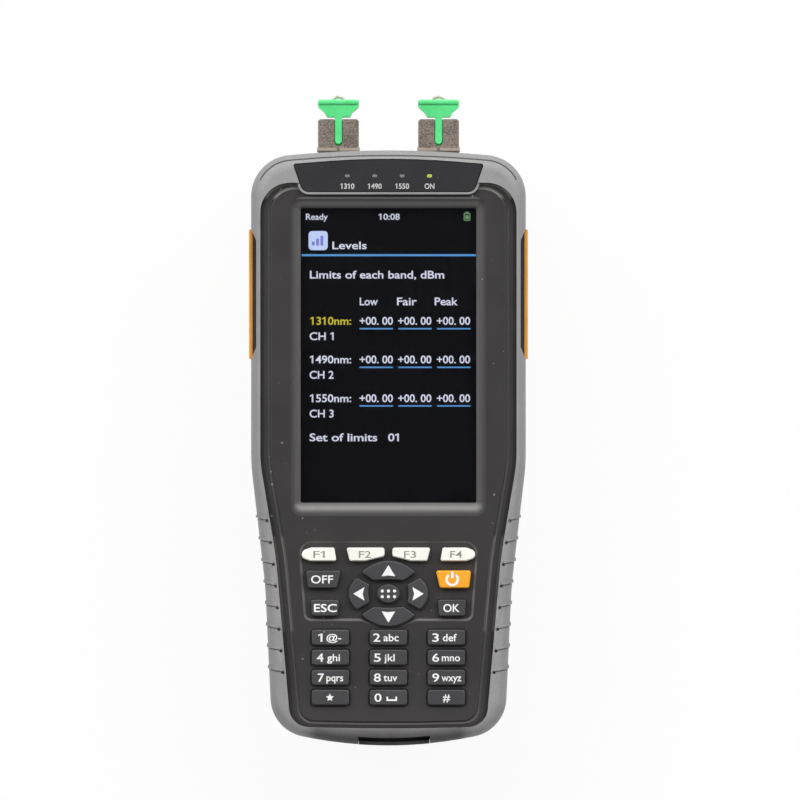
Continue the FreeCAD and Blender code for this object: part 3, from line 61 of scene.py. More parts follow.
def in_scene(name, data):
    """A new object for some data, put into the scene."""
    made = bpy.data.objects.new(name, data)
    bpy.context.scene.collection.objects.link(made)
    return made


# %% [markdown]
# ## The camera
# The tester is looked at from straight above, with its ports at the top. A camera could stand close with
# a wide lens, but then the sides of the sleeve would show. A long lens from far away keeps the view
# almost parallel.

# %% Camera
PIXEL = 0.3025 * MM
IMAGE_SIDE = 800
VIEW_CENTRE = (3.5 * MM, 14.5 * MM)
CAMERA_HEIGHT = 2.5
SENSOR = 36.0

face_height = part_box("front_cover")[1].z
camera_data = bpy.data.cameras.new("camera")
camera_data.sensor_width = SENSOR
camera_data.lens = SENSOR * (CAMERA_HEIGHT - face_height) / (IMAGE_SIDE * PIXEL)
camera = in_scene("camera", camera_data)
camera.location = (*VIEW_CENTRE, CAMERA_HEIGHT)
bpy.context.scene.camera = camera
bpy.context.scene.view_settings.view_transform = "Standard"
print("lens in mm", round(camera_data.lens, 1), "panel height in mm", round(face_height / MM, 2))

# %% [markdown]
# ## Writing node trees as sums
# Every finish and every repeated piece below is a node tree. Linking nodes one by one makes long code, so
# one small class stands for a socket: arithmetic on it adds Math nodes, and one method adds any other
# node.

# %% A socket that can be added and multiplied
MIX_FACTOR, MIX_FIRST, MIX_SECOND, MIX_RESULT = 0, 6, 7, 2


class Flow:
    """One output socket of a node tree. Sums and products of flows add Math nodes to that tree."""

    def __init__(self, tree, socket=None):
        self.tree = tree
        self.socket = socket

    def node(self, kind, settings=None, inputs=None, out=0):
        """Adds a node: its settings first, then the value, the link or the list of links of each socket."""
        made = self.tree.nodes.new(kind)
        for name, value in (settings or {}).items():
            setattr(made, name, value)
        for key, value in (inputs or {}).items():
            for item in value if isinstance(value, list) else [value]:
                if isinstance(item, Flow):
                    self.tree.links.new(item.socket, made.inputs[key])
                else:
                    made.inputs[key].default_value = item
        return Flow(self.tree, made.outputs[out] if made.outputs else None)

    def math(self, operation, *values):
        return self.node("ShaderNodeMath", {"operation": operation}, dict(enumerate(values)))

    def __add__(self, other):
        return self.math("ADD", self, other)

    def __sub__(self, other):
        return self.math("SUBTRACT", self, other)

    def __rsub__(self, other):
        return self.math("SUBTRACT", other, self)

    def __mul__(self, other):
        return self.math("MULTIPLY", self, other)

    def __abs__(self):
        return self.math("ABSOLUTE", self)

    __radd__ = __add__
    __rmul__ = __mul__

    def most(self, other):
        """The larger of two values."""
        return self.math("MAXIMUM", self, other)

    def rise(self, low, high):
        """0 below low, 1 above high, and a soft step between them."""
        return self.node("ShaderNodeMapRange", {"interpolation_type": "SMOOTHSTEP"},
                         {"Value": self, "From Min": low, "From Max": high})

    def fall(self, low, high):
        """1 below low, 0 above high, and a soft step between them."""
        return 1 - self.rise(low, high)

    def mix(self, first, second):
        """The first colour where this value is 0, the second where it is 1."""
        return self.node("ShaderNodeMix", {"data_type": "RGBA"},
                         {MIX_FACTOR: self, MIX_FIRST: first, MIX_SECOND: second}, MIX_RESULT)


def emptied(owner):
    """The first flow of a material's or a world's node tree, once the tree is empty."""
    owner.use_nodes = True
    owner.node_tree.nodes.clear()
    return Flow(owner.node_tree)


print("node writer ready")

# %% [markdown]
# ## The floor and the light
# The tester lies on a white table. A white floor could be lit until it is white, but then the object
# would be too bright as well. Here the floor is plain white to the eye, to gloss and to glass, and a
# small share of it is real paint, which keeps a soft shadow. It is clear from below, so the back can be
# looked at too.

# %% Floor
WHITE = (1, 1, 1, 1)
FLOOR_SIDE = 16.0
FLOOR_DROP = 0.2 * MM
FLOOR_PAINTS = ((0.86, 0.86, 0.86, 1), (0.9, 0.9, 0.9, 1))
FLOOR_CLOUD_SCALE = 3.0
GLOW_SHARE = 0.93

floor_paint = bpy.data.materials.new("white_floor")
start = emptied(floor_paint)
seen, glossy, clear = (start.node("ShaderNodeLightPath", out="Is %s Ray" % kind)
                       for kind in ("Camera", "Glossy", "Transmission"))
looked_at = seen.most(glossy.most(clear))
floor_place = start.node("ShaderNodeTexCoord", out="Object")
cloud = start.node("ShaderNodeTexNoise", inputs={"Vector": floor_place, "Scale": FLOOR_CLOUD_SCALE})
paint_coat = start.node("ShaderNodeBsdfDiffuse", inputs={"Color": cloud.mix(*FLOOR_PAINTS)})
glow = start.node("ShaderNodeEmission", inputs={"Color": WHITE, "Strength": 1.0})
top_side = start.node("ShaderNodeMixShader", inputs={0: looked_at * GLOW_SHARE, 1: paint_coat, 2: glow})
under_side = start.node("ShaderNodeBsdfTransparent")
from_below = start.node("ShaderNodeNewGeometry", out="Backfacing")
either = start.node("ShaderNodeMixShader", inputs={0: from_below, 1: top_side, 2: under_side})
start.node("ShaderNodeOutputMaterial", inputs={"Surface": either})

floor_mesh = bpy.data.meshes.new("floor")
half = FLOOR_SIDE / 2
floor_mesh.from_pydata([(x * half, y * half, -FLOOR_DROP) for x, y in ((-1, -1), (1, -1), (1, 1), (-1, 1))],
                       [], [(0, 1, 2, 3)])
floor_mesh.materials.append(floor_paint)
floor = in_scene("floor", floor_mesh)
print("floor of", FLOOR_SIDE, "m")

# %% [markdown]
# The light falls from beyond the ports, aslant over the table: faces that lean that way are the bright
# ones, the lower lip of the screen frame shines, and the bottom end stays dark. One lamp could do that,
# but its shadows would be hard, so three wide lamps stand in a half circle. The sky is a soft ring,
# weaker at the foot, and it is dim overhead, because a bright sky overhead would lay a grey veil on the
# glass.

# %% Sky and lamps
SKY_PORTS = 1.0
SKY_FOOT = 0.3
SKY_OVERHEAD = 0.02
FOOT_TO_PORTS = (-0.75, 0.35)
RING_TO_OVERHEAD = (0.6, 0.93)
# Each lamp has its place and its two sides in metres, and its power in watts.
LAMPS = {
    "ports_lamp": ((0.0, 1.45, 1.35), (2.0, 0.9), 18.5),
    "left_lamp": ((-1.35, 0.8, 1.0), (1.2, 0.9), 15.0),
    "right_lamp": ((1.35, 0.8, 1.0), (1.2, 0.9), 15.0),
}

sky = bpy.data.worlds.new("studio_sky")
start = emptied(sky)
direction = start.node("ShaderNodeTexCoord", out="Generated")
along, height = (start.node("ShaderNodeSeparateXYZ", inputs={0: direction}, out=axis) for axis in (1, 2))
ring = SKY_FOOT + (SKY_PORTS - SKY_FOOT) * along.rise(*FOOT_TO_PORTS)
level = SKY_OVERHEAD + (ring - SKY_OVERHEAD) * height.fall(*RING_TO_OVERHEAD)
seen = start.node("ShaderNodeLightPath", out="Is Camera Ray")
shown = seen + (1 - seen) * level
background = start.node("ShaderNodeBackground", inputs={"Color": WHITE, "Strength": shown})
start.node("ShaderNodeOutputWorld", inputs={"Surface": background})
bpy.context.scene.world = sky

for name, (place, sides, power) in LAMPS.items():
    lamp_data = bpy.data.lights.new(name, "AREA")
    lamp_data.shape = "RECTANGLE"
    lamp_data.size, lamp_data.size_y = sides
    lamp_data.energy = power
    lamp = in_scene(name, lamp_data)
    lamp.location = place
    lamp.rotation_euler = (-Vector(place)).to_track_quat("-Z", "Y").to_euler()
print(len(LAMPS), "lamps")

# %% [markdown]
# ## Finishes
# A finish is a colour that is never quite even, a roughness that follows it, and a grain that only the
# light shows. All patterns read Object coordinates, which are millimetre-true here because no object is
# scaled, so the grain keeps its real size on every piece. One function holds what all moulded parts
# share.

# %% Colours and patterns
SPECK_EDGE = 0.2


def paint(red, green, blue):
    """A colour as a picture program gives it, 0 to 255, in the linear values of a shader."""
    shares = [c / 255 for c in (red, green, blue)]
    return (*[((c + 0.055) / 1.055) ** 2.4 if c > 0.04045 else c / 12.92 for c in shares], 1.0)


def shade(colour, share):
    """The same colour, lighter above 1 or darker below 1."""
    return (*[min(1.0, c * share) for c in colour[:3]], 1.0)


def across(where, axis):
    """The place along one axis, 0 for X, 1 for Y and 2 for Z."""
    return where.node("ShaderNodeSeparateXYZ", inputs={0: where}, out=axis)


def stretched(where, scale):
    """The same places, drawn together by one scale for each axis."""
    return where.node("ShaderNodeMapping", inputs={"Vector": where, "Scale": scale})


def grain(where, size, detail=2.0):
    """A cloudy value from 0 to 1 whose spots are about size mm wide."""
    settings = {"Vector": where, "Scale": 1 / (size * MM), "Detail": detail}
    return where.node("ShaderNodeTexNoise", inputs=settings)


def specks(where, spacing, size):
    """1 on scattered specks up to size mm wide, 0 elsewhere."""
    settings = {"Vector": where, "Scale": 1 / (spacing * MM)}
    away = where.node("ShaderNodeTexVoronoi", inputs=settings, out="Distance")
    chance = where.node("ShaderNodeTexVoronoi", inputs=settings, out="Color")
    luck = where.node("ShaderNodeSeparateColor", inputs={0: chance}, out=0)
    reach = luck * luck * (size / spacing)
    return (reach - away).rise(0.0, SPECK_EDGE * size / spacing)


def bumpy(height, depth):
    """A normal for a grain that is depth mm deep."""
    return height.node("ShaderNodeBump", inputs={"Strength": 1.0, "Distance": depth * MM, "Height": height})


print("a mid grey in linear light is", round(paint(128, 128, 128)[0], 3))

# %% Finish helpers
CLOUD_SIZE = 14.0
TONE_SHARES = (0.9, 1.1)
ROUGH_RANGE = 0.16
LARGE_DUST = {"spacing": 3.2, "size": 0.34}
SMALL_DUST = {"spacing": 1.3, "size": 0.2}
SMALL_DUST_SHARE = 0.6
PALE_DUST = (0.5, 0.5, 0.48, 1)


def finish(name, surface):
    """A material: surface takes the Object coordinates and gives the shader's sockets."""
    material = bpy.data.materials.new(name)
    begin = emptied(material)
    where = begin.node("ShaderNodeTexCoord", out="Object")
    shader = begin.node("ShaderNodeBsdfPrincipled", inputs=surface(where))
    begin.node("ShaderNodeOutputMaterial", inputs={"Surface": shader})
    return material


def moulded(colour, rough, spot, depth, dust=0.0, dust_colour=PALE_DUST, **fixed):
    """A moulded surface: cloudy colour, a grain of that spot and depth in mm, and some dust."""
    def surface(where):
        cloud = grain(where, CLOUD_SIZE, 3.0)
        fine = grain(where, spot)
        darker, lighter = (shade(colour, share) for share in TONE_SHARES)
        tone = (cloud * 0.6 + fine * 0.4).rise(0.3, 0.7).mix(darker, lighter)
        if dust:
            tone = (specks(where, **LARGE_DUST) * dust).mix(tone, dust_colour)
            small = specks(where, **SMALL_DUST) * cloud.rise(0.45, 0.7)
            tone = (small * (dust * SMALL_DUST_SHARE)).mix(tone, dust_colour)
        roughness = (rough - ROUGH_RANGE / 2) + ROUGH_RANGE * (cloud * 0.5 + fine * 0.5)
        return {"Base Color": tone, "Roughness": roughness, "Normal": bumpy(fine, depth), **fixed}
    return surface


print("finish helpers ready")

# %% [markdown]
# ### The case
# The case is a dark, hard plastic with a tight grain and dust on it. A paler colour is painted as highlights
# on the slope of the key pocket, on the upper line of the border groove and on the lip round the screen,
# and the lip is smoother. The bottom end is painted paler too, as painted light where it lies in shade.
# Each of these could have a finish of its own, but light has no sharp border, so masks on the depth below
# the panel and on the place along the case paint it softly.

# %% Case finish
BLACK_CASE = paint(50, 48, 48)
# Painted light: the bottom end of the case is painted paler where it lies in shade.
CASE_FOOT_LIGHT = paint(57, 55, 55)
# Painted highlights: the pocket slope and side lips, the upper border line, and the lower and upper lip.
EDGE_HIGHLIGHT_CASE = paint(86, 84, 83)
BORDER_HIGHLIGHT = paint(124, 123, 122)
LOWER_LIP_HIGHLIGHT = paint(132, 131, 130)
UPPER_LIP_HIGHLIGHT = paint(154, 153, 152)
CASE_FOOT_LIGHT_LENGTH = 14.0 * MM
POCKET_SLOPE = (0.03 * MM, 0.12 * MM)
POCKET_FLOOR = (0.42 * MM, 0.49 * MM)
LIP_REACH = 2.0 * MM
LIP_TURN = 2.0 * MM
LIP_EDGE = 0.05 * MM
LIP_DEPTH = 1.7 * MM
LIP_WIDER = 0.5 * MM
LIP_END = 6.0 * MM
LIP_FADE = 0.3 * MM
LIP_POLISH = 0.16

window_low, window_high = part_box("screen_window")
window_middle = (window_low + window_high) / 2
window_half = (window_high - window_low) / 2
pocket_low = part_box("key_down")[0].y - 2.0 * MM
pocket_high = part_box("key_f1")[1].y + 3.0 * MM
border_top = window_high.y + 0.4 * MM
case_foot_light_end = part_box("front_cover")[0].y + 5.6 * MM


def screen_lip(where, depth, along):
    """How far a point belongs to the lip round the screen, and the colour of the painted highlight there."""
    lower = along.fall(window_low.y, window_low.y + LIP_TURN)
    upper = along.rise(window_high.y - LIP_TURN, window_high.y)
    lip = depth.rise(LIP_EDGE, LIP_DEPTH - LIP_WIDER * lower) * depth.fall(LIP_END, LIP_END + MM)
    for axis in (0, 1):
        away = abs(across(where, axis) - window_middle[axis])
        lip = lip * (window_half[axis] + LIP_REACH - away).rise(0.0, LIP_FADE)
    return lip, upper.mix(lower.mix(EDGE_HIGHLIGHT_CASE, LOWER_LIP_HIGHLIGHT), UPPER_LIP_HIGHLIGHT)


def case_shell(where):
    """The case, with painted light on its bottom end and painted highlights on the key pocket, border groove
    and screen lip.
    """
    sockets = moulded(BLACK_CASE, rough=0.5, spot=0.35, depth=0.012, dust=0.5)(where)
    depth = face_height - across(where, 2)
    along = across(where, 1)
    slope = depth.rise(*POCKET_SLOPE) * depth.fall(*POCKET_FLOOR)
    pocket = slope * along.rise(pocket_low, pocket_low + MM) * along.fall(pocket_high, pocket_high + MM)
    border = slope * along.rise(border_top, border_top + MM)
    lip, lip_highlight = screen_lip(where, depth, along)
    # Painted light on the bottom end of the case.
    tone = along.rise(case_foot_light_end, case_foot_light_end + CASE_FOOT_LIGHT_LENGTH).mix(CASE_FOOT_LIGHT, sockets["Base Color"])
    # Painted highlights on the pocket slope, the upper border line and the lip round the screen.
    tone = pocket.mix(tone, EDGE_HIGHLIGHT_CASE)
    tone = border.mix(tone, BORDER_HIGHLIGHT)
    sockets["Base Color"] = lip.mix(tone, lip_highlight)
    sockets["Roughness"] = sockets["Roughness"] - lip * LIP_POLISH
    return sockets


case_plastic = finish("black_case_plastic", case_shell)
print("key pocket from y in mm", round(pocket_low / MM, 1), "to", round(pocket_high / MM, 1))

# %% [markdown]
# ### The sleeve
# The sleeve is a matt grey rubber with a fine spark-eroded grain, which could be modelled as pits but is
# far finer than a pixel, so a bump carries it. It is scuffed lengthwise. Its round edge and the middle of
# the bottom end are painted darker, as painted shade, and the lower corners of the bottom end are painted
# lighter, as painted light. A noise moves the borders of the painted shade on the foot and on the edge,
# because a straight border would look painted.

# %% Sleeve finish
SLEEVE_GREY = paint(143, 142, 142)
# Painted shade on the round edge.
ROUND_EDGE_SHADE = paint(129, 128, 128)
SCUFF_GREY = paint(182, 181, 180)
# Painted shade in the middle of the bottom end.
FOOT_SHADE_GREY = paint(70, 68, 67)
# Painted light on the lower corners of the bottom end.
LIT_CORNER_GREY = paint(170, 169, 169)
ROUND_EDGE_SHADE_SHARE = 0.85
SCUFF_SHARE = 0.25
FOOT_SHADE_SHARE = 0.9
SCUFF_STRETCH = (1.0, 0.12, 1.0)
RIB_RISE = 0.175 * MM
ROUND_EDGE = (0.1 * MM, 1.3 * MM)
FOOT_SHADE_LENGTH = 11.0 * MM
FOOT_SHADE_HALF = 21.0 * MM
FOOT_SHADE_FADE = 6.0 * MM

sleeve_low, sleeve_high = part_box("bumper_sleeve")
sleeve_front = sleeve_high.z - RIB_RISE


def ragged(where, place, spot, width):
    """A place that wanders by width mm in spots of that size."""
    return place + width * MM * (grain(where, spot) - 0.5)


def sleeve_rubber(where):
    """Grey rubber with painted shade on its round edge and in the middle of its foot, scuffs, and painted
    light on the lower corners.
    """
    sockets = moulded(SLEEVE_GREY, rough=0.62, spot=0.5, depth=0.02, dust=0.25)(where)
    side, along, height = (across(where, axis) for axis in (0, 1, 2))
    round_edge = ragged(where, sleeve_front - height, spot=2.5, width=0.5).rise(*ROUND_EDGE)
    scuffs = grain(stretched(where, SCUFF_STRETCH), 0.9, 3.0).rise(0.64, 0.72)
    foot = ragged(where, along, spot=5.0, width=2.0).fall(sleeve_low.y, sleeve_low.y + FOOT_SHADE_LENGTH)
    corner = abs(side).rise(FOOT_SHADE_HALF, FOOT_SHADE_HALF + FOOT_SHADE_FADE)
    # Painted shade on the round edge.
    tone = (round_edge * ROUND_EDGE_SHADE_SHARE).mix(sockets["Base Color"], ROUND_EDGE_SHADE)
    tone = (scuffs * SCUFF_SHARE).mix(tone, SCUFF_GREY)
    # Painted shade in the middle of the bottom end.
    tone = (foot * (1 - corner) * FOOT_SHADE_SHARE).mix(tone, FOOT_SHADE_GREY)
    # Painted light on the lower corners of the bottom end.
    sockets["Base Color"] = (foot * corner).mix(tone, LIT_CORNER_GREY)
    return sockets


grey_rubber = finish("grey_sleeve_rubber", sleeve_rubber)
print("sleeve front at z in mm", round(sleeve_front / MM, 2))

# %% [markdown]
# ### Pads, keys, caps and ink
# The pads on the flanks are orange rubber, and the gaskets and the port flap are black rubber. Keys are
# moulded in three colours and touched all day, so they are smoother than the case. The dust caps are a
# bright, slightly waxy green plastic, and legends are a thin coat of ink. They differ only in colour,
# grain and dust, so all of them take the shared finish.

# %% Rubber, key, cap and ink finishes
WAX_RADIUS = (0.6 * MM, 1.2 * MM, 0.7 * MM)
WAX = {"Subsurface Weight": 0.15, "Subsurface Radius": WAX_RADIUS}
MILKY = {"Subsurface Weight": 0.1}
KEY_DUST = (0.45, 0.43, 0.4, 1)
INK_COAT = {"rough": 0.5, "spot": 0.3, "depth": 0.004}

orange_rubber = finish("orange_pad_rubber", moulded(
    paint(226, 153, 54), rough=0.5, spot=0.4, depth=0.015, dust=0.2))
black_rubber = finish("black_flap_rubber", moulded(
    paint(98, 97, 97), rough=0.62, spot=0.45, depth=0.02, dust=0.3))
plate_film = finish("indicator_plate_film", moulded(
    paint(46, 46, 48), rough=0.38, spot=0.25, depth=0.006, dust=0.5))
silicone = finish("keypad_silicone", moulded(
    paint(178, 178, 174), rough=0.7, spot=0.6, depth=0.02, **MILKY))
dark_key = finish("dark_key_plastic", moulded(
    paint(68, 67, 69), rough=0.42, spot=0.3, depth=0.006, dust=0.45))
white_key = finish("white_key_plastic", moulded(
    paint(249, 247, 236), rough=0.42, spot=0.4, depth=0.005, dust=0.2, dust_colour=KEY_DUST))
orange_key = finish("orange_key_plastic", moulded(
    paint(250, 169, 44), rough=0.42, spot=0.4, depth=0.005, dust=0.3))
green_cap = finish("green_cap_plastic", moulded(
    paint(90, 215, 132), rough=0.4, spot=0.8, depth=0.01, dust=0.2, **WAX))
legend_ink = finish("white_legend_ink", moulded(paint(240, 240, 238), **INK_COAT))
grey_ink = finish("grey_legend_ink", moulded(paint(152, 149, 135), **INK_COAT))
plate_ink = finish("pale_label_ink", moulded(paint(194, 194, 193), **INK_COAT))
print("rubber, key, cap and ink finishes made")

# %% [markdown]
# ### Metal
# The ports are cast metal with a worn nickel plate, brownish and speckled where the plate is thin. Screws
# are zinc plated with fine turning marks, which are rings round the screw. Rings would need one centre
# for each screw, so a stretched noise stands for them. The optical head inside is milled aluminium.

# %% Plated and milled metal
PLATE_FULL = 0.62


def patches(where, spot, large, first):
    """Worn patches: small spots in mm, gathered in larger ones, from a first trace of wear to full wear."""
    return (grain(where, spot, 4.0) * 0.7 + grain(where, large) * 0.3).rise(first, PLATE_FULL)


def plated(bright, worn, rough, spot):
    """Metal plate over a darker base: worn spots are darker, rougher and less metallic."""
    def surface(where):
        wear = patches(where, spot, spot * 5, 0.42)
        fine = grain(where, 0.12)
        return {"Base Color": (wear * 0.8 + fine * 0.2).mix(bright, worn), "Metallic": 1 - wear * 0.35,
                "Roughness": rough + wear * 0.22 + fine * 0.06, "Normal": bumpy(fine + wear, 0.006)}
    return surface


def milled(colour, rough, stretch):
    """Tool marks: a noise that is long in one direction and short in the others."""
    def surface(where):
        marks = grain(stretched(where, stretch), 1.0, 3.0)
        return {"Base Color": marks.mix(shade(colour, 0.8), shade(colour, 1.15)), "Metallic": 1.0,
                "Roughness": rough + marks * 0.18, "Normal": bumpy(marks, 0.004)}
    return surface


eyelet_metal = finish("eyelet_tinned_brass", plated(
    paint(226, 221, 212), paint(150, 138, 122), rough=0.28, spot=0.3))
steel = finish("zinc_plated_steel", milled(paint(196, 196, 198), rough=0.28, stretch=(1.0, 6.0, 1.0)))
head_metal = finish("milled_aluminium", milled(paint(190, 192, 195), rough=0.32, stretch=(8.0, 1.0, 1.0)))
print("plated and milled finishes made")

# %% Cast ports
CAST_DARK = paint(68, 60, 55)
CAST_PALE = paint(158, 146, 136)
# A paler colour: wear on the long edges, and a painted highlight round the key slot and on the foot.
CAST_WEAR_AND_HIGHLIGHT = paint(166, 153, 141)
PORT_HALF = 6.2 * MM
EDGE_WEAR = 0.7 * MM
SLOT_HALF = 1.3 * MM
SLOT_HIGHLIGHT_WIDTH = 0.45 * MM
SLOT_FADE = 0.4 * MM
FOOT_HEIGHT = 1.2 * MM
FOOT_FADE = 0.3 * MM

port_low, port_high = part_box("sc_adapter_right")
port_x = (port_low.x + port_high.x) / 2
foot_top = sleeve_high.y + FOOT_HEIGHT


def cast_port(where):
    """Speckled cast metal, rubbed bright on the long edges, with painted highlights round the key slot and
    on the foot.
    """
    spots = patches(where, 0.55, 3.0, 0.36)
    fine = grain(where, 0.14)
    away = abs(abs(across(where, 0)) - port_x)
    edge = away.rise(PORT_HALF - EDGE_WEAR, PORT_HALF)
    slot = (SLOT_HALF + SLOT_HIGHLIGHT_WIDTH - away).rise(0.0, SLOT_FADE)
    foot = (foot_top - across(where, 1)).rise(0.0, FOOT_FADE)
    # Wear on the long edges, and a painted highlight round the slot and on the foot.
    wear_and_highlight = foot.most(edge.most(slot) * 0.6)
    tone = (spots * 0.75 + fine * 0.25).mix(CAST_DARK, CAST_PALE)
    return {"Base Color": (wear_and_highlight * 0.7).mix(tone, CAST_WEAR_AND_HIGHLIGHT), "Metallic": 0.35 + 0.3 * spots,
            "Roughness": 0.55 - 0.2 * wear_and_highlight + 0.1 * fine, "Normal": bumpy(spots * 0.6 + fine, 0.02)}


port_metal = finish("port_cast_nickel", cast_port)
print("ports at x in mm", round(-port_x / MM, 2), "and", round(port_x / MM, 2))

# %% [markdown]
# ### Inside the case
# Inside the case there are a green board, a blue wrapped battery, black sockets and white ceramic
# sleeves. They show only through a port or when a cover is open, but they are finished as the rest is.

# %% Finishes of the inner parts
TRACE_SCALE = 160.0
TRACE_GAP = 0.06
FOLD_STRETCH = (0.3, 2.0, 1.0)


def solder_mask(where):
    """Green lacquer over copper traces, which are drawn as a brick pattern."""
    bricks = {"Vector": where, "Scale": TRACE_SCALE, "Mortar Size": TRACE_GAP}
    traces = where.node("ShaderNodeTexBrick", {"offset": 0.5}, bricks, out="Fac")
    cloud = grain(where, 9.0)
    tone = (traces * 0.6 + cloud * 0.3).mix(paint(18, 92, 52), paint(60, 140, 84))
    return {"Base Color": tone, "Roughness": 0.3 + 0.2 * cloud, "Normal": bumpy(traces, 0.03)}


def shrink_film(where):
    """Blue film that is drawn tight in folds."""
    folds = grain(stretched(where, FOLD_STRETCH), 3.0, 3.0)
    tone = folds.mix(paint(40, 70, 130), paint(72, 104, 168))
    return {"Base Color": tone, "Roughness": 0.3 + 0.2 * folds, "Normal": bumpy(folds, 0.05)}


board_green = finish("green_solder_mask", solder_mask)
battery_film = finish("blue_shrink_film", shrink_film)
socket_black = finish("black_socket_plastic", moulded(paint(46, 46, 47), rough=0.45, spot=0.3, depth=0.01))
ceramic = finish("white_ceramic", moulded(paint(236, 233, 224), rough=0.2, spot=0.5, depth=0.002))
print("inner finishes made")

# %% [markdown]
# ### The screen
# The window is clear glass over a dark display. The display is not black: a faint blue backlight leaks
# through its pixels. A pixel grid could be real geometry, but there would be thousands of cells, so two
# zigzag waves on the Object coordinates draw it. The glass is a real slab with a little smear on it. A
# bare glass would mirror the lamps, so it has the low index of a coated one, and what is behind it stays
# readable.

# %% Glass and display finishes
PIXEL_PITCH = 0.22
PIXEL_EDGE = (0.04, 0.12)
BACKLIGHT = (paint(4, 4, 5), paint(13, 13, 17))
DISPLAY_FILM = (paint(5, 5, 6), paint(10, 10, 12))
DISPLAY_SHINE = 0.15
GLASS_TINTS = ((0.93, 0.94, 0.95, 1), WHITE)
COATED_GLASS = 1.22


def pixel_grid(where):
    """1 inside a pixel and 0 on the lines between pixels."""
    cells = [across(where, axis) * (1 / (PIXEL_PITCH * MM)) for axis in (0, 1)]
    columns, rows = (cell.math("PINGPONG", cell, 0.5).rise(*PIXEL_EDGE) for cell in cells)
    return columns * rows


def dark_display(where):
    """A dark film with a faint glow in each pixel."""
    pixels = pixel_grid(where)
    leak = grain(where, 40.0, 1.0)
    glow = (pixels * (0.6 + 0.4 * leak)).mix(*BACKLIGHT)
    return {"Base Color": (pixels * leak).mix(*DISPLAY_FILM), "Roughness": 0.35 + 0.1 * leak,
            "Specular IOR Level": DISPLAY_SHINE, "Emission Color": glow, "Emission Strength": 1.0}


def clear_window(where):
    """Clear glass, a little less smooth where it is smeared."""
    smear = grain(where, 18.0, 4.0)
    return {"Base Color": smear.mix(*GLASS_TINTS), "Roughness": 0.004 + 0.012 * smear.rise(0.5, 0.8),
            "Transmission Weight": 1.0, "IOR": COATED_GLASS}


display = finish("dark_display", dark_display)
window_glass = finish("screen_window_glass", clear_window)
print("screen finishes made, pixel pitch in mm", PIXEL_PITCH)

# %% [markdown]
# ### Light pipes
# The light pipes are four small frosted rods in the plate over the screen. Three are off and pale grey.
# The last one is lit. The four rods are one solid, so the finish itself says which is lit, by how far to
# the right a point lies.

# %% Light pipe finish
FROST = (paint(104, 104, 102), paint(136, 136, 132))
LIT_ROD = paint(130, 140, 70)
LIT_GLOW = paint(150, 168, 56)
NO_GLOW = (0, 0, 0, 1)
GLOW_STRENGTH = 0.8
LIT_FADE = 0.2 * MM

pipe_low, pipe_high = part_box("indicator_light_pipes")
lit_from = pipe_low.x + 0.8 * (pipe_high.x - pipe_low.x)


def frosted(where):
    """Frosted rods, of which those beyond lit_from shine."""
    lit_part = across(where, 0).rise(lit_from, lit_from + LIT_FADE)
    frost = grain(where, 0.2)
    return {"Base Color": lit_part.mix(frost.mix(*FROST), LIT_ROD), "Roughness": 0.3 + 0.2 * frost,
            "Emission Color": lit_part.mix(NO_GLOW, LIT_GLOW), "Emission Strength": GLOW_STRENGTH}


pipe_frost = finish("light_pipe_frost", frosted)
print("lit from x in mm", round(lit_from / MM, 1))

# %% [markdown]
# ## Finishes onto the solids
# The record names a material slot for each solid. A finish could be picked for each piece, but the slots
# are fewer, so each slot gets one finish.

# %% Assign the finishes
SLOT_FINISH = {
    "grey_sleeve": grey_rubber, "black_panel": case_plastic, "orange_pad": orange_rubber,
    "indicator_black": plate_film, "light_pipe": pipe_frost, "screen_glass": window_glass,
    "black_rubber": black_rubber, "display": display, "silicone": silicone, "circuit_board": board_green,
    "steel": steel, "battery_wrap": battery_film, "head_metal": head_metal, "socket_black": socket_black,
    "port_metal": port_metal, "zirconia": ceramic, "green_cap": green_cap, "eyelet_metal": eyelet_metal,
    "white_key": white_key, "orange_key": orange_key, "dark_key": dark_key,
}
for part in frame["record"]["subparts"]:
    solid = nodes[part["node"]]
    solid.data.materials.clear()
    solid.data.materials.append(SLOT_FINISH[part["material_slot"]])
print(len(SLOT_FINISH), "finishes on", len(nodes), "solids")

# %% [markdown]
# ## Printing words and signs
# Legends are ink, a few hundredths of a millimetre thick. Flat faces would do for one picture, but a
# print that is a closed thin solid can be seen and exported from any side. So each word or sign is drawn
# as a filled curve, thickened, turned into a mesh, and only then put in its place.

# %% Drawing helpers
BOLD = 0.012
ROUNDNESS = 4
FLAG = ((0.03, 1.0), (-0.22, 0.83), (-0.22, 0.68), (0.03, 0.83))


def as_mesh(holder):
    """What an object looks like as a plain mesh. The object and its modifiers are removed."""
    seen_by = bpy.context.evaluated_depsgraph_get()
    mesh = bpy.data.meshes.new_from_object(holder.evaluated_get(seen_by))
    holder.modifiers.clear()
    bpy.data.objects.remove(holder)
    return mesh


def drawn(curve):
    """The filled curve as a closed mesh, 1 thick, centred on its own plane."""
    curve.extrude = 0.5
    mesh = as_mesh(in_scene("drawing", curve))
    bpy.data.curves.remove(curve)
    return mesh


def box_of(points):
    """The lowest and the highest corner of some points."""
    return tuple(Vector([pick(p[i] for p in points) for i in range(3)]) for pick in (min, max))


def corners(mesh):
    """The lowest and the highest corner of a mesh."""
    return box_of([v.co for v in mesh.vertices])


def typed(text, bold):
    """A line of text in Blender's own font, one unit high."""
    curve = bpy.data.curves.new("lettering", "FONT")
    curve.body = text
    curve.resolution_u = ROUNDNESS
    curve.offset = bold
    return drawn(curve)


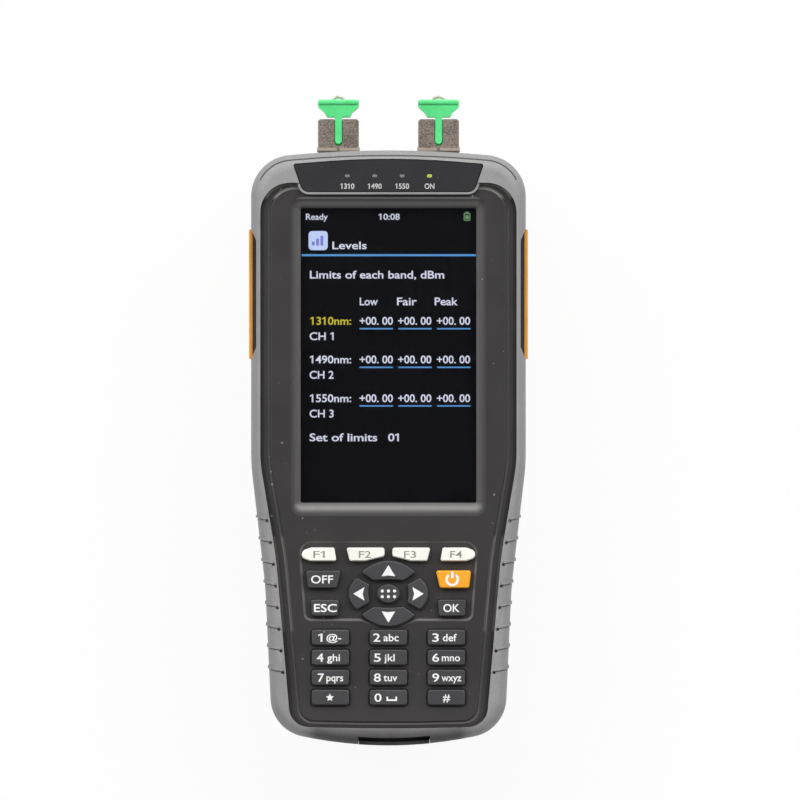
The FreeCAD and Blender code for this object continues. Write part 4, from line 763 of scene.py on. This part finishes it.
def shape(*outlines):
    """Closed outlines in mm, filled between each other."""
    curve = bpy.data.curves.new("shape", "CURVE")
    curve.dimensions = "2D"
    curve.fill_mode = "BOTH"
    for outline in outlines:
        spline = curve.splines.new("POLY")
        spline.points.add(len(outline) - 1)
        for point, (x, y) in zip(spline.points, outline):
            point.co = (x, y, 0, 1)
        spline.use_cyclic_u = True
    return drawn(curve)


def lettering(text, bold):
    """A line of text. The font's 1 is a bare bar, so every 1 gets a small flag at its top."""
    mesh = typed(text, bold)
    bar_low, bar_high = corners(typed("1", bold))
    tall = bar_high.y - bar_low.y
    made = bmesh.new()
    made.from_mesh(mesh)
    for i, letter in enumerate(text):
        if letter == "1":
            left = corners(typed(text[:i + 1], bold))[1].x - (bar_high.x - bar_low.x)
            made.from_mesh(shape([(left + dx * tall, bar_low.y + dy * tall) for dx, dy in FLAG]))
    made.to_mesh(mesh)
    made.free()
    return mesh


cap_low, cap_high = corners(typed("H", BOLD))
CAPITAL = cap_high.y - cap_low.y
print("a capital is", round(CAPITAL, 3), "of the font's size")

# %% Placing helpers
INK = 0.04
SUNK = 0.02
MERGE = 0.0005


def word(text, left, right, base, capital, bold=BOLD):
    """Text from left to right on a base line, with capitals of that height, all in mm."""
    mesh = lettering(text, bold)
    low, high = corners(mesh)
    wide = (right - left) / (high.x - low.x)
    tall = capital / CAPITAL
    to_place = Matrix.Translation((left, base - cap_low.y * tall, 0))
    mesh.transform(to_place @ Matrix.Diagonal((wide, tall, 1, 1)) @ Matrix.Translation((-low.x, 0, 0)))
    return mesh


def moved(mesh, x, y):
    """The same drawing, moved by x and y mm."""
    mesh.transform(Matrix.Translation((x, y, 0)))
    return mesh


def piece_from(name, mesh, body, x=0.0, y=0.0, z=0.0):
    """A mesh in mm as a finished piece, moved to its place and riding on a body."""
    mesh.transform(Matrix.Scale(MM, 4) @ Matrix.Translation((x, y, z)))
    mesh.name = name
    piece = in_scene(name, mesh)
    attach(piece, body)
    return piece


def printed(name, drawings, bottom, material, body):
    """One thin closed piece from several drawings, on a surface at bottom mm, riding on a body."""
    made = bmesh.new()
    for drawing in drawings:
        made.from_mesh(drawing)
        bpy.data.meshes.remove(drawing)
    bmesh.ops.remove_doubles(made, verts=made.verts, dist=MERGE)
    bmesh.ops.recalc_face_normals(made, faces=made.faces)
    bmesh.ops.transform(made, matrix=Matrix.Diagonal((1, 1, INK, 1)), verts=made.verts)
    mesh = bpy.data.meshes.new(name)
    made.to_mesh(mesh)
    made.free()
    mesh.materials.append(material)
    return piece_from(name, mesh, body, z=bottom - SUNK + INK / 2)


print("ink in mm", INK, "of which sunk", SUNK)

# %% [markdown]
# ## Key legends
# The number keys have a digit on the left and small letters beside it, the upper keys have one word each,
# and the cursor keys have arrows. One print for the whole keypad would be simpler, but the keys go down
# one by one, so each legend rides on its own key. The places are given from the middle of the key, so a
# legend stays on its key wherever the key is.

# %% Word legends
# Each word has its text, and its left and right end in mm from the middle of the key.
F_WORDS = {"key_f1": ("F1", -1.7, 1.8), "key_f2": ("F2", -2.1, 1.6), "key_f3": ("F3", -2.2, 1.5),
           "key_f4": ("F4", -2.4, 1.3)}
WORDS = {"key_off": ("OFF", -3.7, 3.0), "key_esc": ("ESC", -3.3, 3.6), "key_ok": ("OK", -2.6, 2.3),
         "key_hash": ("#", -1.1, 1.1)}
DIGITS = {"key_1": ("1", -3.7, -2.4), "key_2": ("2", -4.6, -2.5), "key_3": ("3", -4.3, -2.3),
          "key_4": ("4", -4.1, -2.1), "key_5": ("5", -4.4, -2.3), "key_6": ("6", -4.3, -2.2),
          "key_7": ("7", -3.8, -1.9), "key_8": ("8", -4.4, -2.3), "key_9": ("9", -4.3, -2.2),
          "key_0": ("0", -4.2, -2.1)}
LETTERS = {"key_2": ("abc", -1.5, 3.1), "key_3": ("def", -1.1, 3.1), "key_4": ("ghi", -1.0, 2.9),
           "key_5": ("jkl", -1.3, 1.9), "key_6": ("mno", -1.4, 4.1), "key_7": ("pqrs", -1.2, 3.9),
           "key_8": ("tuv", -1.5, 2.7), "key_9": ("wxyz", -1.5, 4.5)}
SIGNS = {"key_1": ("@-", -1.2, 3.3)}
KEY_TEXT = ((F_WORDS, 2.1), (WORDS, 2.4), (DIGITS, 2.5), (LETTERS, 2.2), (SIGNS, 2.0))
SPACE_SIGN = [(-0.6, 0.3), (-0.6, -1.0), (2.6, -1.0), (2.6, 0.3),
              (2.1, 0.3), (2.1, -0.5), (-0.1, -0.5), (-0.1, 0.3)]


def key_place(key):
    """The middle of a key and the height of its top, in mm."""
    low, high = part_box(key)
    return (low.x + high.x) / 2 / MM, (low.y + high.y) / 2 / MM, high.z / MM


def legend(key, drawings, material=legend_ink):
    """Prints drawings, placed from the middle of the key, on the key's top."""
    x, y, top = key_place(key)
    placed = [moved(drawing, x, y) for drawing in drawings]
    return printed(key.replace("key", "legend"), placed, top, material, key + "_body")


key_drawings = {"key_0": [shape(SPACE_SIGN)]}
for group, tall in KEY_TEXT:
    for key, (text, left, right) in group.items():
        key_drawings.setdefault(key, []).append(word(text, left, right, -tall / 2, tall))
for key, drawings in key_drawings.items():
    legend(key, drawings, grey_ink if key in F_WORDS else legend_ink)
print(len(key_drawings), "word legends")

# %% [markdown]
# The cursor arrows are slim heads with a hollowed base. One outline is drawn for the up arrow and turned
# for the other three. The power sign is an open ring with a stem, drawn as the edge of a band, and the
# star has five points.

# %% Sign legends
# Each arrow has its turn in degrees and how far its base is hollowed in mm.
ARROWS = {"key_up": (0, 0.25), "key_left": (90, 0.55), "key_down": (180, 0.25), "key_right": (270, 0.55)}
ARROW_HALF = 2.05
ARROW_TIP = 1.75
ARROW_BASE = -1.65
POWER_RING = {"radius": 1.7, "stroke": 0.75, "first": 128, "last": 412}
POWER_STEM = [(-0.38, 0.35), (0.38, 0.35), (0.38, 2.3), (-0.38, 2.3)]
POWER_X = -0.4
STAR_RADII = (1.25, 0.6)
STAR_CORNERS = 10
STAR_X = -0.15


def round_point(radius, degrees):
    """A point at an angle on a circle."""
    turn = math.radians(degrees)
    return radius * math.cos(turn), radius * math.sin(turn)


def ring_band(radius, stroke, first, last, steps=28):
    """The outline of a band along part of a circle, from one angle in degrees to another."""
    turns = [first + (last - first) * i / steps for i in range(steps + 1)]
    outer = [round_point(radius + stroke / 2, turn) for turn in turns]
    inner = [round_point(radius - stroke / 2, turn) for turn in reversed(turns)]
    return outer + inner


for key, (turn, hollow) in ARROWS.items():
    arrow = shape([(0, ARROW_TIP), (ARROW_HALF, ARROW_BASE), (0, ARROW_BASE + hollow),
                   (-ARROW_HALF, ARROW_BASE)])
    arrow.transform(Matrix.Rotation(math.radians(turn), 4, "Z"))
    legend(key, [arrow])
power_sign = (ring_band(**POWER_RING), POWER_STEM)
legend("key_power", [moved(shape(outline), POWER_X, 0.0) for outline in power_sign])
star = [round_point(STAR_RADII[i % 2], 90 + 360 * i / STAR_CORNERS) for i in range(STAR_CORNERS)]
legend("key_star", [moved(shape(star), STAR_X, 0.0)])
print(len(ARROWS) + 2, "sign legends")

# %% [markdown]
# ## Marks that repeat
# The menu key has three by two dots, and the screen has three by three lines under its numbers. Both are
# one mark set out in rows and columns, which is what Geometry Nodes do best: a grid of points, one mark
# on each point, and named inputs for the sizes.

# %% Helpers for trees
def new_tree(name, inputs):
    """An empty tree with named inputs: a first flow to write with, and one flow for each input."""
    tree = bpy.data.node_groups.new(name, "GeometryNodeTree")
    tree.interface.new_socket("Geometry", in_out="OUTPUT", socket_type="NodeSocketGeometry")
    for size, kind in inputs.items():
        tree.interface.new_socket(size, in_out="INPUT", socket_type="NodeSocket" + kind)
    entry = tree.nodes.new("NodeGroupInput")
    return Flow(tree), {socket.name: Flow(tree, socket) for socket in entry.outputs if socket.name}


def set_out(start, points, mark, material):
    """Ends a tree: one mark on each point, made real, with its finish."""
    placed = start.node("GeometryNodeInstanceOnPoints", inputs={"Points": points, "Instance": mark})
    real = start.node("GeometryNodeRealizeInstances", inputs={0: placed})
    dressed = start.node("GeometryNodeSetMaterial", inputs={"Geometry": real, "Material": material})
    start.node("NodeGroupOutput", inputs={0: dressed})
    return start.tree


def block(start, wide, deep, tall):
    """A box of three sizes."""
    extent = start.node("ShaderNodeCombineXYZ", inputs={0: wide, 1: deep, 2: tall})
    return start.node("GeometryNodeMeshCube", inputs={"Size": extent})


def grown(name, tree, values, points=()):
    """Runs a tree on a new object that holds the given points, and returns the result as a plain mesh."""
    seed = bpy.data.meshes.new(name + "_points")
    seed.from_pydata(points, [], [])
    holder = in_scene(name + "_tree", seed)
    modifier = holder.modifiers.new("tree", "NODES")
    modifier.node_group = tree
    for socket in tree.interface.items_tree:
        if socket.in_out == "INPUT" and socket.name in values:
            modifier[socket.identifier] = values[socket.name]
    return as_mesh(holder)


print("tree helpers ready")

# %% A tree for marks in rows
MARK_SIZES = ("Column Pitch", "Row Pitch", "Mark Width", "Mark Height", "Thickness")
MARK_INPUTS = {"Columns": "Int", "Rows": "Int", "Finish": "Material", **dict.fromkeys(MARK_SIZES, "Float")}
DOT_SIDES = 24


def marks_tree(name, draw_mark):
    """Marks in rows and columns. draw_mark adds the nodes of one mark from the named sizes."""
    start, sizes = new_tree(name, MARK_INPUTS)
    grid = start.node("GeometryNodeMeshGrid", inputs={
        "Size X": (sizes["Columns"] - 1) * sizes["Column Pitch"], "Vertices X": sizes["Columns"],
        "Size Y": (sizes["Rows"] - 1) * sizes["Row Pitch"], "Vertices Y": sizes["Rows"]})
    return set_out(start, grid, draw_mark(start, sizes), sizes["Finish"])


def dot_mark(start, sizes):
    return start.node("GeometryNodeMeshCylinder", inputs={
        "Vertices": DOT_SIDES, "Radius": sizes["Mark Width"] * 0.5, "Depth": sizes["Thickness"]})


def bar_mark(start, sizes):
    return block(start, sizes["Mark Width"], sizes["Mark Height"], sizes["Thickness"])


dots_tree = marks_tree("menu_dots", dot_mark)
bars_tree = marks_tree("screen_bars", bar_mark)
print("trees", dots_tree.name, bars_tree.name)

# %% Menu dots
MENU_DOTS = {"Columns": 3, "Rows": 2, "Column Pitch": 1.85, "Row Pitch": 1.7, "Mark Width": 0.95,
             "Thickness": INK, "Finish": legend_ink}

menu_x, menu_y, menu_top = key_place("key_menu")
menu_dots = grown("menu_dots", dots_tree, MENU_DOTS)
menu_legend = piece_from("legend_menu", menu_dots, "key_menu_body", menu_x, menu_y,
                         menu_top - SUNK + INK / 2)
print("menu dots:", len(menu_legend.data.polygons), "faces")

# %% [markdown]
# ## What the screen shows
# A lit display is not printed: its words shine. They could be painted into the display's own finish, but
# letters are hard to write with nodes, so the words are thin solids just in front of the display, and
# their finish shines through the same pixel grid. They are plain words and numbers of a test table,
# placed in mm from the middle of the display.

# %% Lit finishes
LINE_SHARE = 0.72
UNLIT_SHARE = 0.05


def lit(colour):
    """A shining mark on the display, a little dimmer on the lines between pixels."""
    def surface(where):
        glow = pixel_grid(where).mix(shade(colour, LINE_SHARE), colour)
        return {"Base Color": shade(colour, UNLIT_SHARE), "Roughness": 0.4 + 0.1 * grain(where, 6.0),
                "Emission Color": glow, "Emission Strength": 1.0}
    return surface


lit_white = finish("lit_white", lit(paint(218, 220, 238)))
lit_yellow = finish("lit_yellow", lit(paint(204, 192, 50)))
lit_blue = finish("lit_blue", lit(paint(82, 146, 206)))
lit_pale_blue = finish("lit_pale_blue", lit(paint(196, 212, 250)))
lit_violet = finish("lit_violet", lit(paint(120, 126, 214)))
lit_green = finish("lit_green", lit(paint(108, 152, 104)))
print("lit finishes made")

# %% Words on the screen
STATUS_TEXT = 1.85
TITLE_TEXT = 2.3
TEXT = 2.35
SCREEN_BOLD = 0.014
STATUS_Y = 41.1
TITLE_Y = 32.2
HEADING_Y = 15.2
LAST_Y = -26.0
CHANNEL_DROP = 4.65
NUMBER_LEFTS = (-8.75, 2.9, 14.65)
NUMBER_WIDTH = 10.1
# Each row has its wavelength, the left end of that word and the height of its base line.
ROWS = (("1310nm:", -23.7, 9.3), ("1490nm:", -23.8, -2.4), ("1550nm:", -23.8, -14.15))
BAND_RIGHT = -11.3
CHANNEL_ENDS = (-23.9, -16.6)
# Each word has its text, its left and right end, its base line and the height of its capitals.
SCREEN_WORDS = (
    ("Levels", -17.0, -6.6, TITLE_Y, TITLE_TEXT),
    ("Limits of each band, dBm", -23.8, 16.9, 23.3, TEXT),
    ("Low", -8.7, -3.2, HEADING_Y, TEXT),
    ("Fair", 2.6, 8.6, HEADING_Y, TEXT),
    ("Peak", 14.0, 21.0, HEADING_Y, TEXT),
    ("Set of limits", -23.9, -3.4, LAST_Y, TEXT),
    ("01", -0.1, 3.15, LAST_Y, TEXT),
)

screen_low, screen_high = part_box("lcd_module")
screen_x = (screen_low.x + screen_high.x) / 2 / MM
screen_y = (screen_low.y + screen_high.y) / 2 / MM
screen_face = screen_high.z / MM


def shown_on_screen(name, drawings, material, lift=0.0):
    """One shining piece on the display, from drawings that are placed from the display's middle."""
    placed = [moved(drawing, screen_x, screen_y) for drawing in drawings]
    return printed(name, placed, screen_face + lift, material, "housing")


status_words = [word("Ready", -25.0, -18.4, STATUS_Y, STATUS_TEXT),
                word("10:08", -2.95, 3.4, STATUS_Y, STATUS_TEXT)]
table_words = [word(*line, SCREEN_BOLD) for line in SCREEN_WORDS]
for number, (_, _, base) in enumerate(ROWS, 1):
    table_words.append(word("CH %d" % number, *CHANNEL_ENDS, base - CHANNEL_DROP, TEXT, SCREEN_BOLD))
    for left in NUMBER_LEFTS:
        table_words.append(word("+00. 00", left, left + NUMBER_WIDTH, base, TEXT, SCREEN_BOLD))
chosen_band, *other_bands = [word(band, left, BAND_RIGHT, base, TEXT, SCREEN_BOLD)
                             for band, left, base in ROWS]
white_words = status_words + table_words + other_bands
shown_on_screen("screen_words", white_words, lit_white)
shown_on_screen("screen_chosen_row", [chosen_band], lit_yellow)
print(len(white_words) + 1, "words at height in mm", round(screen_face, 2))

# %% Lines and signs on the screen
# Each sign is a rectangle: its left, bottom, right and top side, and the radius of its corners.
TITLE_RULE = (-26.3, 30.05, 26.5, 30.7, 0.2)
TILE = (-24.2, 31.9, -18.4, 37.7, 1.1)
TILE_BAR_WIDTH = 0.85
TILE_BAR_FOOT = 33.3
TILE_BARS = {-23.2: 1.2, -21.9: 2.1, -20.6: 3.0}
TILE_BAR_LIFT = 0.03
BATTERY_SHELL = ((22.8, 40.8, 24.8, 43.2, 0.3), (23.1, 41.1, 24.5, 42.9, 0.15))
BATTERY_TIP = (23.4, 43.15, 24.2, 43.55, 0.1)
BATTERY_CHARGE = (23.3, 41.3, 24.3, 42.5, 0.1)
UNDERLINES = {"Columns": 3, "Rows": 3, "Column Pitch": 11.75, "Row Pitch": 11.7, "Mark Width": NUMBER_WIDTH,
              "Mark Height": 0.45, "Thickness": INK, "Finish": lit_blue}
UNDERLINES_MIDDLE = (8.05, -3.6)


def rounded(x0, y0, x1, y1, radius, steps=6):
    """The outline of a rectangle with rounded corners."""
    outline = []
    for centre_x, centre_y, first in ((x1 - radius, y1 - radius, 0), (x0 + radius, y1 - radius, 90),
                                      (x0 + radius, y0 + radius, 180), (x1 - radius, y0 + radius, 270)):
        for i in range(steps + 1):
            x, y = round_point(radius, first + 90 * i / steps)
            outline.append((centre_x + x, centre_y + y))
    return outline


tile_bars = [shape(rounded(x, TILE_BAR_FOOT, x + TILE_BAR_WIDTH, TILE_BAR_FOOT + tall, 0.2))
             for x, tall in TILE_BARS.items()]
battery = [shape(*[rounded(*side) for side in BATTERY_SHELL]), shape(rounded(*BATTERY_TIP)),
           shape(rounded(*BATTERY_CHARGE))]
shown_on_screen("screen_title_rule", [shape(rounded(*TITLE_RULE))], lit_blue)
shown_on_screen("screen_tile", [shape(rounded(*TILE))], lit_pale_blue)
shown_on_screen("screen_tile_bars", tile_bars, lit_violet, TILE_BAR_LIFT)
shown_on_screen("screen_battery", battery, lit_green)
underlines = grown("screen_underlines", bars_tree, UNDERLINES)
piece_from("screen_underlines", underlines, "housing", screen_x + UNDERLINES_MIDDLE[0],
           screen_y + UNDERLINES_MIDDLE[1], screen_face - SUNK + INK / 2)
print("screen lines and signs drawn")

# %% [markdown]
# ## Labels of the light pipes
# Under each light pipe is a small label: three wavelengths in nanometres and a plain word for the lamp
# that is lit. Their places could be typed in, but they are set from the light pipes themselves, so a
# label always stands under its own lamp.

# %% Find the lamps
def separate_solids(node):
    """The boxes, in mm, of the separate solids in one node."""
    made = bmesh.new()
    made.from_mesh(nodes[node].data)
    bmesh.ops.remove_doubles(made, verts=made.verts, dist=MERGE * MM)
    waiting = set(made.verts)
    boxes = []
    while waiting:
        edge_of = [waiting.pop()]
        group = []
        while edge_of:
            point = edge_of.pop()
            group.append(point.co / MM)
            for link in point.link_edges:
                other = link.other_vert(point)
                if other in waiting:
                    waiting.remove(other)
                    edge_of.append(other)
        boxes.append(box_of(group))
    made.free()
    return boxes


pipes = sorted(separate_solids("indicator_light_pipes"), key=lambda box: box[0].x)
print(len(pipes), "lamps at x in mm", [round((low.x + high.x) / 2, 2) for low, high in pipes])

# %% Plate labels
# Each label has half its width in mm.
LABELS = {"1310": 2.12, "1490": 2.12, "1550": 2.12, "ON": 1.5}
LABEL_BELOW = 3.15
LABEL_HEIGHT = 1.6
LABEL_BOLD = 0.02

plate_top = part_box("indicator_panel")[1].z / MM
labels = []
for (low, high), (text, half_width) in zip(pipes, LABELS.items()):
    middle = (low.x + high.x) / 2
    base = (low.y + high.y) / 2 - LABEL_BELOW - LABEL_HEIGHT / 2
    labels.append(word(text, middle - half_width, middle + half_width, base, LABEL_HEIGHT, LABEL_BOLD))
printed("plate_labels", labels, plate_top, plate_ink, "housing")
print(len(labels), "labels")

# %% [markdown]
# ## Screws
# Eight screws close the back: six deep in the case and two in the battery door. A real screw has a cross
# slot, which the solids leave out. The heads could be cut one by one, but a tree that cuts one head and
# puts it on each screw's place keeps them all alike. The places are read from the solids.

# %% A tree for cross-slot screws
SCREW_SIZES = ("Head Radius", "Head Height", "Shank Radius", "Shank Length", "Slot Length", "Slot Width",
               "Slot Depth")
SCREW_INPUTS = {"Geometry": "Geometry", "Finish": "Material", **dict.fromkeys(SCREW_SIZES, "Float")}
HEAD_SIDES = 32
SHANK_SIDES = 20
CROWN_HEIGHT_SHARE = 0.3
CROWN_RADIUS_SHARE = 0.82
SHANK_OVERLAP = 0.02


def screw_tree(name):
    """Screws with a chamfered head that points down and a cross slot in it, one on each point."""
    start, sizes = new_tree(name, SCREW_INPUTS)
    head_radius, head_height = sizes["Head Radius"], sizes["Head Height"]
    length, width, depth = sizes["Slot Length"], sizes["Slot Width"], sizes["Slot Depth"]

    def raised(mesh, height):
        lift = start.node("ShaderNodeCombineXYZ", inputs={2: height})
        return start.node("GeometryNodeTransform", inputs={"Geometry": mesh, "Translation": lift})

    crown_height = head_height * CROWN_HEIGHT_SHARE
    disc_height = head_height - crown_height
    crown = start.node("GeometryNodeMeshCone", inputs={
        "Vertices": HEAD_SIDES, "Radius Top": head_radius, "Radius Bottom": head_radius * CROWN_RADIUS_SHARE,
        "Depth": crown_height})
    disc = start.node("GeometryNodeMeshCylinder", inputs={
        "Vertices": HEAD_SIDES, "Radius": head_radius, "Depth": disc_height})
    shank = start.node("GeometryNodeMeshCylinder", inputs={
        "Vertices": SHANK_SIDES, "Radius": sizes["Shank Radius"], "Depth": sizes["Shank Length"]})
    raised_disc = raised(disc, crown_height + disc_height * 0.5)
    raised_shank = raised(shank, head_height + sizes["Shank Length"] * 0.5 - SHANK_OVERLAP)
    plain = start.node("GeometryNodeMeshBoolean", {"operation": "UNION"},
                       {"Mesh 2": [raised_disc, crown, raised_shank]})
    bars = [block(start, wide, deep, depth * 2) for wide, deep in ((length, width), (width, length))]
    cross = start.node("GeometryNodeJoinGeometry", inputs={0: bars})
    slotted = start.node("GeometryNodeMeshBoolean", {"operation": "DIFFERENCE"},
                         {"Mesh 1": plain, "Mesh 2": cross})
    return set_out(start, sizes["Geometry"], slotted, sizes["Finish"])


cross_screw = screw_tree("cross_slot_screws")
print("tree", cross_screw.name)

# %% Screws on the back
# Each group of screws has the height of its heads and the radius of its shanks in mm.
SCREWS = {"case_screws": (1.8, 1.25), "battery_door_screws": (1.0, 0.9)}
SLOT_LENGTH_SHARE = 1.25
SLOT_WIDTH_SHARE = 0.28
SLOT_DEPTH_SHARE = 0.55

for node, (head_height, shank_radius) in SCREWS.items():
    boxes = separate_solids(node)
    low, high = boxes[0]
    radius = (high.x - low.x) / 2
    places = [((a.x + b.x) / 2, (a.y + b.y) / 2, a.z) for a, b in boxes]
    screws = grown(node, cross_screw, {
        "Head Radius": radius, "Head Height": head_height, "Shank Radius": shank_radius,
        "Shank Length": high.z - low.z - head_height, "Slot Length": radius * SLOT_LENGTH_SHARE,
        "Slot Width": radius * SLOT_WIDTH_SHARE, "Slot Depth": head_height * SLOT_DEPTH_SHARE,
        "Finish": steel}, places)
    piece = piece_from(node + "_slotted", screws, "housing")
    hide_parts(node)
    print(node, len(places), "screws of radius in mm", round(radius, 2), len(piece.data.polygons), "faces")
